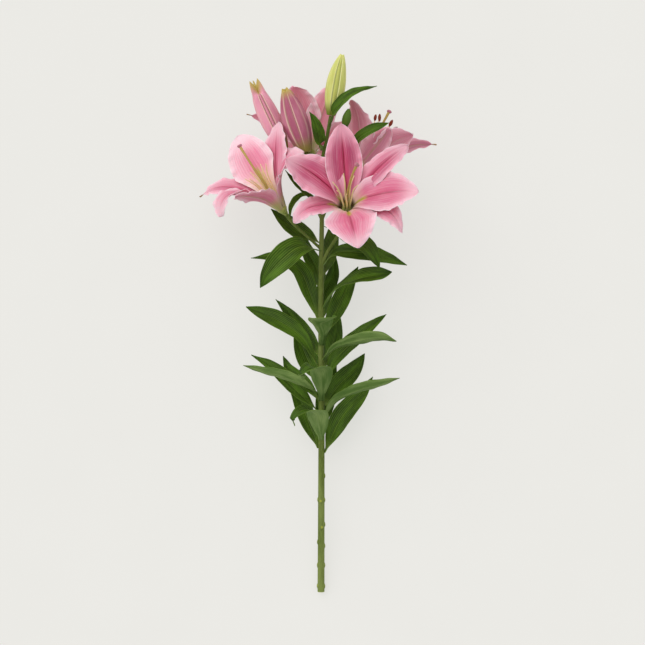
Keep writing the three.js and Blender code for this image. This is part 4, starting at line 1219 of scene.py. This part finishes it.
class LILY_OT_petals(bpy.types.Operator):
    """Make the petals of the open blooms"""

    bl_idname = "lily.petals"
    bl_label = "Petals"
    bl_options = {"REGISTER", "UNDO"}

    def execute(self, context):
        c = context.scene.lily_colours
        green = plain_look("lily_receptacle", c.stem_fresh, c.petal_base, 420.0, c.petal_base,
                           (0.2, 0.9), Roughness=0.5, Specular_IOR_Level=0.4)
        materials = [petal_look(c), green]
        for name, bloom in BLOOMS.items():
            build_petals(name, bloom, context.scene.lily_sizes, materials)
        return {"FINISHED"}


class LILY_OT_stamens(bpy.types.Operator):
    """Make the stamens of the open blooms"""

    bl_idname = "lily.stamens"
    bl_label = "Stamens"
    bl_options = {"REGISTER", "UNDO"}

    def execute(self, context):
        c = context.scene.lily_colours
        filament = plain_look("lily_filament", c.filament_foot, c.filament, 500.0, c.filament,
                              (0.1, 0.6), Roughness=0.45, Subsurface_Weight=0.2,
                              Subsurface_Scale=0.001)
        anther = plain_look("lily_anther", c.anther, c.anther_light, 1800.0, depth=0.0006,
                            Roughness=0.85, Specular_IOR_Level=0.2)
        for name, bloom in BLOOMS.items():
            build_stamens(name, bloom, context.scene.lily_sizes, [filament, anther])
        return {"FINISHED"}


class LILY_OT_pistils(bpy.types.Operator):
    """Make the pistils of the open blooms"""

    bl_idname = "lily.pistils"
    bl_label = "Pistils"
    bl_options = {"REGISTER", "UNDO"}

    def execute(self, context):
        c = context.scene.lily_colours
        style = plain_look("lily_style", c.style_green, c.style, 380.0, c.style, (0.2, 0.8),
                           Roughness=0.4, Subsurface_Weight=0.15, Subsurface_Scale=0.001)
        stigma = plain_look("lily_stigma", c.stigma, c.petal_outer_deep, 900.0, depth=0.0004,
                            Roughness=0.3, Coat_Weight=0.3, Coat_Roughness=0.2)
        for name, bloom in BLOOMS.items():
            build_pistil(name, bloom, context.scene.lily_sizes, [style, stigma])
        return {"FINISHED"}


class LILY_OT_buds(bpy.types.Operator):
    """Make the closed buds"""

    bl_idname = "lily.buds"
    bl_label = "Buds"
    bl_options = {"REGISTER", "UNDO"}

    def execute(self, context):
        c = context.scene.lily_colours
        pink = bud_look("lily_bud_pink", c.bud_pink, c.bud_mauve, c.bud_seam_shade, c.bud_pale, c.bud_tip,
                        c.bud_base)
        # For the green bud the foot's colour also serves as its painted seam shade, and for the
        # small bud the leaf green does.
        green = bud_look("lily_bud_green", c.bud_green, c.bud_green_deep, c.bud_green_base,
                         c.bud_green_pale, c.bud_green, c.bud_green_base)
        small = bud_look("lily_bud_small", c.stem_fresh, c.leaf_green, c.leaf_green, c.stem_green,
                         c.leaf_green, c.leaf_dark)
        materials = {"bud_pink_1": pink, "bud_pink_2": pink, "bud_green": green, "bud_small": small}
        for name, spec in BUDS.items():
            build_bud(name, spec, context.scene.lily_sizes, materials[name])
        return {"FINISHED"}


class LILY_OT_stage(bpy.types.Operator):
    """Set the table top, the light and the camera"""

    bl_idname = "lily.stage"
    bl_label = "Stage"
    bl_options = {"REGISTER", "UNDO"}

    def execute(self, context):
        build_stage(context.scene.lily_stage, context.scene.lily_colours)
        return {"FINISHED"}


OPERATORS = (LILY_OT_stem, LILY_OT_leaves, LILY_OT_petals, LILY_OT_stamens, LILY_OT_pistils,
             LILY_OT_buds, LILY_OT_stage)
GROUPS = {"lily_sizes": LilySizes, "lily_colours": LilyColours, "lily_stage": LilyStage}


class LILY_PT_panel(bpy.types.Panel):
    """The lily's pieces, sizes, colours and light"""

    bl_idname = "LILY_PT_panel"
    bl_label = "Cut Lily"
    bl_space_type = "VIEW_3D"
    bl_region_type = "UI"
    bl_category = "Cut Lily"

    def draw(self, context):
        for operator in OPERATORS:
            self.layout.operator(operator.bl_idname)
        for name, kind in GROUPS.items():
            box = self.layout.box()
            for key in kind.__annotations__:
                box.prop(getattr(context.scene, name), key)


CLASSES = (*GROUPS.values(), *OPERATORS, LILY_PT_panel)


def register():
    for cls in CLASSES:
        bpy.utils.register_class(cls)
    for name, kind in GROUPS.items():
        setattr(bpy.types.Scene, name, PointerProperty(type=kind))


def unregister():
    for name in GROUPS:
        delattr(bpy.types.Scene, name)
    for cls in reversed(CLASSES):
        bpy.utils.unregister_class(cls)


def main():
    register()
    foot = (PLANT_AT[1] - STALK[0][3] * math.sin(math.radians(RISE))) * MM
    if abs(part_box("stem")[0].y - foot) > PLACE_SLACK:
        raise RuntimeError("the packed stem is not where this script expects it")
    for operator in OPERATORS:
        area, name = operator.bl_idname.split(".")
        getattr(getattr(bpy.ops, area), name)()


if __name__ == "__main__":
    main()
